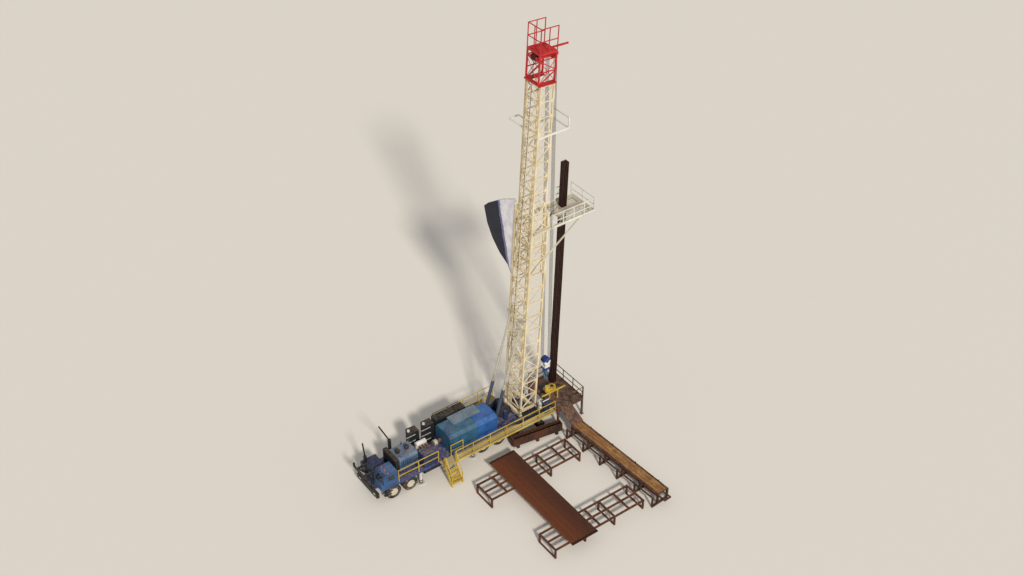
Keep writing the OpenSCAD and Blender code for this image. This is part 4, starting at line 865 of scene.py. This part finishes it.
@piece("black", "dark_paint")
def cooler_grilles(p):
    """Two fin grilles on the cooler's inner face and a fan ring over each."""
    pitch, fins, fin_pitch, grille_l = 1.2, 16, 0.058, 0.95
    ring = [(0.26, 0.0), (0.26, 0.05), (0.22, 0.06), (0.22, 0.02), (0.06, 0.02), (0.06, 0.06), (0.01, 0.07)]
    at = shift(COOLER.x0, COOLER.y0, DECK_Z)
    p.to = at
    for half in range(2):
        x0 = 0.12 + half * pitch
        for k in range(fins):
            x = x0 + 0.03 + k * fin_pitch
            p.box((x, -0.015, 0.27), (x + 0.012, 0.005, 1.44), 0.002)
        for z in (0.5, 0.85, 1.2):
            p.box((x0, -0.018, z), (x0 + grille_l, 0.0, z + 0.02), 0.003)
    for half in range(2):
        p.to = at @ shift(0.6 + half * pitch, (COOLER.y1 - COOLER.y0) / 2, COOLER.z1 - DECK_Z)
        p.lathe(ring, 28)


@piece("rope", "wire_rope")
def drum_rope(p):
    end_gap = 0.06
    p.tube(coil(DRUM_X, end_gap - DRUM_HALF, DRUM_Z, DRUM_R + 0.006, 2 * (DRUM_HALF - end_gap),
                15, 18, "y"), 0.024, 6)


@piece("iron", "hook_steel")
def brake_drums(p):
    flange = [(0.50, 0.0), (0.50, 0.06), (0.46, 0.07), (0.46, 0.03), (0.16, 0.02), (0.14, 0.05),
              (0.03, 0.05)]
    for side in SIDES:
        p.to = outward(DRUM_X, side * (DRUM_HALF + 0.04), DRUM_Z, side)
        p.lathe(flange, 36)


@piece("rope", "wire_rope")
def winch_ropes(p):
    middle = (WINCHES.y0 + WINCHES.y1) / 2
    for x in (WINCHES.x0, WINCHES.x0 + 0.6):
        p.tube(coil(x + 0.06, middle, DECK_Z + 0.26, 0.13, 0.36, 12, 14, "x"), 0.014, 6)


@piece("yellow", "safety_yellow")
def walkway_toeboards(p):
    half_t = 0.006
    for x0, x1, y in ((STAIRS.x1 + 0.02, WALK.x1 - 0.01, WALK.y0 + 0.005), (*FAR_WALK, WALK.y1 - 0.005)):
        p.box((x0, y - half_t, DECK_Z), (x1, y + half_t, DECK_Z + 0.12), 0.003)


@piece("pale_yellow", "safety_yellow")
def walkway_grating(p):
    pitch, edge_y, inner_y = 0.11, WALK.y1 - 0.04, HALF_W + 0.03
    for x0, x1, y0, y1 in ((WALK.x0 + 0.04, WALK.x1 - 0.03, -edge_y, -inner_y),
                           (FAR_WALK[0] + 0.04, FAR_WALK[1] - 0.03, inner_y, edge_y)):
        count = int((x1 - x0) / pitch)
        for k in range(count):
            x = x0 + (x1 - x0) * k / count
            p.box((x, y0, DECK_Z - 0.002), (x + 0.016, y1, DECK_Z + 0.010), 0.002)


@piece("yellow", "safety_yellow")
def stair_treads(p):
    steps, run, tread_d = 6, STAIRS.y1 - STAIRS.y0 - 0.16, 0.18
    for i in range(1, steps):
        rise = i / steps
        z = DECK_Z * (1 - rise) + 0.03
        for k in range(5):
            y = STAIRS.y1 - 0.02 - run * rise - tread_d + k * 0.035
            p.box((STAIRS.x0 + 0.06, y, z), (STAIRS.x1 - 0.06, y + 0.012, z + 0.008), 0.002)


@piece("carrier", "carrier_blue")
def deck_edges(p):
    x0, x1 = DECK.x0 + 0.01, FAR_WALK[1] - 0.02
    for side in SIDES:
        y, edge = side * (HALF_W - 0.03), side * HALF_W
        p.box((x0, y - 0.025, DECK_Z), (x1, y + 0.025, DECK_Z + 0.03), 0.006)
        p.box((x0, edge - 0.012, DECK_Z - 0.16), (x1, edge + 0.012, DECK_Z - 0.03), 0.006)


@piece("black", "dark_paint")
def mudguards(p):
    first, sweep, bars = 20, 140, 8
    middle, width, sheet_t = 1.0, 0.58, 0.012
    for x in AXLES:
        for side in SIDES:
            arc = [math.radians(first + sweep * k / bars) for k in range(bars + 1)]
            points = [(x + 0.59 * math.cos(a), side * middle, AXLE_Z + 0.56 * math.sin(a)) for a in arc]
            for a, b in zip(points, points[1:]):
                p.bar(a, b, sheet_t, width, 0.003)


@piece("black", "dark_paint")
def leaf_springs(p):
    leaves, leaf_t, leaf_pitch, half_w, spring_y = 5, 0.016, 0.02, 0.04, 0.58
    for x in AXLES:
        for side in SIDES:
            y = side * spring_y
            for k in range(leaves):
                half = 0.5 - 0.08 * k
                z = AXLE_Z + 0.10 + leaf_pitch * k
                p.box((x - half, y - half_w, z), (x + half, y + half_w, z + leaf_t), 0.003)


@piece("iron", "hook_steel")
def jack_collars(p):
    """A collar round each jack and a boss on its pad. The tail jacks stand on the base beam."""
    for x in JACK_XS:
        foot = BEAM_TOP if x == 0 else 0.0
        for side in SIDES:
            p.to = shift(x, side * JACK_Y, foot + 0.28)
            p.lathe([(0.125, 0.0), (0.125, 0.05), (0.112, 0.06)], 24)
            p.to = shift(x, side * JACK_Y, foot + 0.06)
            p.lathe([(0.13, 0.0), (0.12, 0.04), (0.09, 0.06)], 24)


@piece("red", "crown_red")
def crown_braces(p):
    """Caps of the guard rail's posts, grating, and crossed braces on three sides of the crown."""
    half, post, side_y, brace_r = 0.6, 0.62, 0.625, 0.02
    deck, foot = CROWN_FOOT + 2.05, CROWN_FOOT + 0.1
    p.to = MAST
    for x in (-post, post):
        for y in (-post, post):
            p.rod((x, y, CROWN_FOOT + 3.50), (x, y, CROWN_FOOT + 3.62), 0.018)
    for k in range(11):
        y = k * 0.115 - half
        p.box((-half, y, deck + 0.028), (half, y + 0.025, deck + 0.042), 0.003)
    for side in SIDES:
        for end in (-half, half):
            p.rod((end, side * side_y, foot), (-end, side * side_y, CROWN_FOOT + 1.6), brace_r)
    for end in (-half, half):
        p.rod((-post, end, foot), (-post, -end, CROWN_FOOT + 1.5), brace_r)


@piece("sheave", "sheave_iron")
def crown_sheave_rims(p):
    count, pitch, half_t, rim_r = 4, 0.095, 0.032, 0.283
    profile = [(0.10, 0.0), (0.278, 0.0), (rim_r, 0.008), (rim_r, 0.056), (0.278, 0.064), (0.10, 0.064)]
    for x in (WELL_LOCAL, FAST_SHEAVE_X):
        for i in range(count):
            y = (i - (count - 1) / 2) * pitch
            p.to = MAST @ shift(x, y - half_t, CROWN_AXLE) @ turned(-90, "X")
            p.lathe(profile, 36)


@piece("white", "rail_white")
def board_toeboards(p):
    """Toe boards and windbreak bars round the tubing board."""
    end_x, half, z, board_h, half_t = BOARD.x1 - 0.01, BOARD.y1 - 0.007, BOARD.z1, 0.14, 0.005
    for side in SIDES:
        p.box((0.98, side * half - half_t, z), (end_x, side * half + half_t, z + board_h), 0.003)
    p.box((end_x - half_t, -1.17, z), (end_x + half_t, 1.17, z + board_h), 0.003)
    for side in SIDES:
        y = side * (BOARD.y1 - 0.02)
        for x in (1.4, 2.2, 3.0, 3.8):
            p.bar((x, y, z + 0.06), (x + 0.35, y, z + 0.95), 0.02, 0.012)


@piece("board", "board_paint")
def board_grating(p):
    for k in range(18):
        x = 2.02 + k * 0.125
        p.box((x, -0.24, BOARD.z1 - 0.002), (x + 0.03, 0.24, BOARD.z1 + 0.008), 0.002)


@piece("red", "crown_red")
def finger_pins(p):
    z = BOARD.z1
    first_x = STAND_X + (z - FLOOR_Z) * math.tan(math.radians(STAND_LEAN))
    for i in range(-7, 13):
        x = first_x + (i - 0.5) * STAND_PITCH
        for side in SIDES:
            p.rod((x, side * 0.285, z - 0.002), (x, side * 0.285, z + 0.035), 0.011, 8)


@piece("stand", "dark_pipe")
def pipe_couplings(p):
    """Couplings at both ends of each laid tube."""
    profile = [(0.0385, -0.16), (0.0405, -0.15), (0.0405, -0.02), (0.037, 0.0), (0.026, 0.0), (0.024, -0.06)]
    for i in range(LAID_COUNT):
        x = LAID.x0 + PIPE_R + i * LAID_PITCH
        for y, side in ((LAID.y1, 1), (LAID.y0, -1)):
            p.to = outward(x, y, RACKS.z1 + PIPE_R, side)
            p.lathe(profile, 16)


@piece("stand", "dark_pipe")
def stand_couplings(p):
    """Tool joints at the foot, the middle and the top of each racked stand."""
    slack, r0, r1, bevel = 0.01, 0.0368, 0.0398, 0.02
    rng = random.Random(4)
    for row in range(STAND_ROWS):
        for k in range(STANDS_IN_ROW):
            x, y = STAND_X + row * STAND_PITCH, STAND_Y + k * STAND_PITCH_Y
            foot = shift(x, y, FLOOR_Z + STAND_LIFT) @ turned(STAND_LEAN, "Y")
            for z, length in ((0.02, 0.24), (PIPE_L - 0.22, 0.46), (2 * PIPE_L - 0.26, 0.25)):
                p.to = foot @ shift(0, 0, z + rng.uniform(-slack, slack))
                p.lathe([(r0, 0.0), (r1, bevel), (r1, length - bevel), (r0, length)], 16)


@piece("planks", "rusty_steel")
def catwalk_planks(p):
    plank_w, pitch, top = 0.22, 0.24, 0.912
    p.to = CATWALK
    for k in range(3):
        x = (k - 1) * pitch
        p.box((x, -8.42, top - 0.014), (x + plank_w, -0.06, top), 0.004)


@piece("rust", "rusty_steel")
def pipe_stops(p):
    """Stops along the catwalk and pins at the ends of the pipe racks' rails."""
    inset = 0.055
    p.to = CATWALK
    for y in (-1.0, -3.2, -5.4, -7.6):
        for x in (-0.38, 0.58):
            p.box((x - 0.012, y - 0.03, 0.898), (x + 0.012, y + 0.03, 0.99), 0.004)
    p.to = Matrix.Identity(4)
    near = (RACKS.x0, RACKS.x1 - 0.6)
    far = (RACKS.x0 + 0.7, RACKS.x1)
    for y, (x0, x1) in ((-4.1, near), (-5.85, near), (-9.96, far), (-11.71, far)):
        for x in (x0 + inset, x1 - inset):
            p.rod((x, y - inset, RACKS.z1 - 0.002), (x, y - inset, RACKS.z1 + 0.12), 0.02)


@piece("floor", "floor_brown")
def ramp_ribs(p):
    ribs, top_y, foot_y, foot_z = 9, -2.26, -3.50, 0.94
    x0, x1, rib, lift = 1.16, 2.14, 0.02, 0.004
    for k in range(ribs):
        share = (k + 0.5) / ribs
        y = top_y + (foot_y - top_y) * share
        z = FLOOR_Z + (foot_z - FLOOR_Z) * share + lift
        p.bar((x0, y, z), (x1, y, z), rib, rib, 0.003)


@piece("floor", "floor_brown")
def floor_treads(p):
    """Toe boards and raised tread bars, which stay clear of the slip table."""
    board_h, board_t, tread_w, table_gap = 0.12, 0.012, 0.012, 0.38
    p.box((FLOOR.x0, FLOOR.y1 - board_t, FLOOR_Z), (FLOOR.x1, FLOOR.y1, FLOOR_Z + board_h), 0.003)
    p.box((FLOOR.x1 - board_t, FLOOR.y0 + 0.05, FLOOR_Z),
          (FLOOR.x1, FLOOR.y1 - 0.05, FLOOR_Z + board_h), 0.003)
    for k in range(24):
        x = FLOOR.x0 + 0.06 + k * 0.09
        if abs(x - WELL_X) >= table_gap:
            p.box((x, FLOOR.y0 + 0.08, FLOOR_Z - 0.001),
                  (x + tread_w, FLOOR.y1 - 0.08, FLOOR_Z + 0.006), 0.002)


@piece("iron", "hook_steel")
def table_bolts(p):
    for a in angles(12):
        x, y = polar(0.31, a)
        p.to = shift(WELL_X + x, y, FLOOR_Z + 0.2)
        p.lathe([(0.017, 0.0), (0.017, 0.014), (0.013, 0.02)], 6)


@piece("black", "dark_paint")
def tong_gears(p):
    """Studs round the tongs' head and the gear in its middle."""
    stud, circle = 0.03, 0.26
    p.to = shift(WELL_X, TONG_Y, TONG_TOP)
    for a in (0.5, 1.2, 1.9, 2.6, 3.7, 4.4, 5.1, 5.8):
        x, y = polar(circle, a)
        p.box((x - stud, y - stud, 0.0), (x + stud, y + stud, stud), 0.008)
    p.lathe([(0.12, 0.0), (0.12, 0.05), (0.09, 0.06), (0.09, 0.02), (0.02, 0.02)], 24)


@piece("iron", "hook_steel", "block")
def block_bolts(p):
    """Bolts and axle caps on the block's two cheeks. They move with the block."""
    for side in SIDES:
        y = side * BLOCK.y1
        for z in (3.65, 4.0):
            for x in (-0.15, 0.15):
                p.to = outward(WELL_X + x, y, z, side)
                p.lathe([(0.03, -0.004), (0.03, 0.012), (0.022, 0.02)], 6)
        p.to = outward(WELL_X, y, BLOCK_AXLE, side)
        p.lathe([(0.10, -0.004), (0.10, 0.012), (0.07, 0.02), (0.05, 0.02)], 24)


def drill_ropes():
    """The drill lines: a copy of the CAD node, which stays on the crown."""
    node = frame["nodes"]["drill_lines"]
    ropes = bpy.data.objects.new("drill_ropes", node.data.copy())
    scene.collection.objects.link(ropes)
    ropes.matrix_world = node.matrix_world.copy()
    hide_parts("drill_lines")
    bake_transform(ropes)


drill_ropes()


CONSOLE_TOP, CONSOLE_TILT = DECK_Z + 0.90, turned(22, "X")


@piece("hood", "cab_blue")
def driller_console(p):
    """The driller's console at the end of the near walkway."""
    p.box((0.16, -1.72, DECK_Z + 0.012), (0.64, -1.46, CONSOLE_TOP), 0.02)
    p.to = shift(0.40, -1.60, CONSOLE_TOP + 0.03) @ CONSOLE_TILT
    p.box((-0.31, -0.20, -0.03), (0.31, 0.20, 0.03), 0.012)


@piece("lamp", "rail_white")
def console_gauges(p):
    for k in range(5):
        p.to = shift(0.18 + 0.11 * k, -1.53, CONSOLE_TOP + 0.09) @ CONSOLE_TILT
        p.lathe([(0.042, -0.02), (0.042, 0.015), (0.034, 0.02), (0.03, 0.012)], 20)


@piece("black", "dark_paint")
def console_levers(p):
    z = CONSOLE_TOP
    for k in range(6):
        x = 0.17 + 0.092 * k
        p.rod((x, -1.68, z), (x, -1.75, z + 0.17), 0.009, 8)
        p.rod((x, -1.752, z + 0.15), (x, -1.77, z + 0.20), 0.02, 10)


@piece("black", "dark_paint")
def console_hoses(p):
    low = DECK_Z + 0.035
    for k in range(5):
        y = -1.37 - 0.05 * k
        p.tube(curve([(0.24 + 0.05 * k, -1.44, DECK_Z + 0.45), (0.05, y, low + 0.05), (-0.8, y, low),
                      (-1.70, y, low), (-2.30, -1.22 - 0.03 * k, low + 0.02), (-2.95, -0.98, low + 0.06),
                      (GUARD.x1, -0.90 + 0.06 * k, low + 0.10)], 10), 0.022)


def sheet_span(outline, height):
    """The lowest and highest Y of the outline at that height up the mast."""
    ys = []
    for (ya, ha), (yb, hb) in zip(outline, outline[1:] + outline[:1]):
        if (ha - height) * (hb - height) <= 0 and ha != hb:
            ys.append(ya + (yb - ya) * (height - ha) / (hb - ha))
    return min(ys), max(ys)


def tarpaulin():
    """A weathered sheet tied along the mast's far front leg, bellied by the wind."""
    leg_y, foot, tall, reach_y, seam = 0.953, 10.4, 5.85, 3.27, 0.01
    outline = [(leg_y, 10.45), (leg_y, 16.20), (2.34, 15.46), (3.75, 14.45), (4.22, 13.98),
               (3.80, 12.90), (3.16, 12.06), (2.29, 11.36), (1.37, 10.94)]
    low, high = outline[0][1] + seam, outline[1][1] - seam
    rows, cols = 96, 64
    verts, uvs = [], []
    for r in range(rows + 1):
        h = low + (high - low) * r / rows
        y0, y1 = sheet_span(outline, h)
        up = (h - foot) / tall
        for c in range(cols + 1):
            y = y0 + (y1 - y0) * c / cols
            reach = (y - leg_y) / reach_y
            belly = math.sin(math.pi * min(1.0, reach * 1.05)) * math.sin(math.pi * up)
            ripple = 0.014 * math.sin(7.0 * h + 2.6 * y) * reach
            ripple += 0.010 * math.sin(3.1 * (y - h) + 0.7) * reach
            ripple += 0.006 * math.sin(19.0 * h - 4.0 * y) * (1.0 - reach) * min(1.0, reach * 6.0)
            verts.append(MAST @ Vector((-LOWER_X - 0.050 * belly - ripple, y, h)))
            uvs.append((reach, up))
    w = cols + 1
    faces = [(r * w + c, r * w + c + 1, (r + 1) * w + c + 1, (r + 1) * w + c)
             for r in range(rows) for c in range(cols)]
    mesh = bpy.data.meshes.new("mast_tarpaulin")
    mesh.from_pydata([tuple(v) for v in verts], [], faces)
    layer = mesh.uv_layers.new(name="across")
    for poly in mesh.polygons:
        for corner, vert in zip(poly.loop_indices, poly.vertices):
            layer.data[corner].uv = uvs[vert]
    mesh.shade_smooth()
    mesh.materials.append(MATERIALS["cloth"])
    obj = bpy.data.objects.new("mast_tarpaulin", mesh)
    scene.collection.objects.link(obj)
    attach(obj, "rig")
    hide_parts("mast_cloth")

    hem, ties = Piece(), Piece()
    hem.to = ties.to = MAST
    edge = outline[1:] + outline[:1]
    for (ya, ha), (yb, hb) in zip(edge, edge[1:]):
        hem.bar((-LOWER_X - 0.002, ya, ha), (-LOWER_X - 0.002, yb, hb), 0.05, 0.010, 0.002)
    hem_obj = hem.make("tarpaulin_hem", "navy", "cloth")
    for k in range(9):
        h = 10.6 + k * 0.68
        ring = [(0.068 * math.cos(a) - LOWER_X, 0.925 + 0.055 * math.sin(a), h)
                for a in (2 * math.pi * s / 12 for s in range(13))]
        ties.tube(ring, 0.007, 6)
    ties_obj = ties.make("tarpaulin_ties", "rope", "cloth")


tarpaulin()


# Stage and light
STAGE_HALF, SUN_HEIGHT = 300, 35.5
SUN_FROM = (-0.30, -0.95)
ground = bpy.data.meshes.new("stage_floor")
ground.from_pydata([(x * STAGE_HALF, y * STAGE_HALF, 0) for x, y in ((-1, -1), (1, -1), (1, 1), (-1, 1))],
                   [], [(0, 1, 2, 3)])
ground.materials.append(Nodes("stage_pale").finish(srgb("e6dfd3"), 0.95))
floor_obj = bpy.data.objects.new("stage_floor", ground)
scene.collection.objects.link(floor_obj)

sun_data = bpy.data.lights.new("key_sun", "SUN")
sun_data.energy = 2.7
sun_data.angle = math.radians(6)
sun_data.color = (1.0, 0.965, 0.91)
sun = bpy.data.objects.new("key_sun", sun_data)
scene.collection.objects.link(sun)
elevation = math.radians(SUN_HEIGHT)
towards_sun = Vector((*(c * math.cos(elevation) for c in SUN_FROM), math.sin(elevation)))
sun.rotation_mode = "QUATERNION"
sun.rotation_quaternion = towards_sun.to_track_quat("Z", "Y")

world = bpy.data.worlds.new("studio")
scene.world = world
world.use_nodes = True
sky = world.node_tree.nodes["Background"]
sky.inputs["Color"].default_value = (0.93, 0.95, 1.0, 1.0)
sky.inputs["Strength"].default_value = 0.42
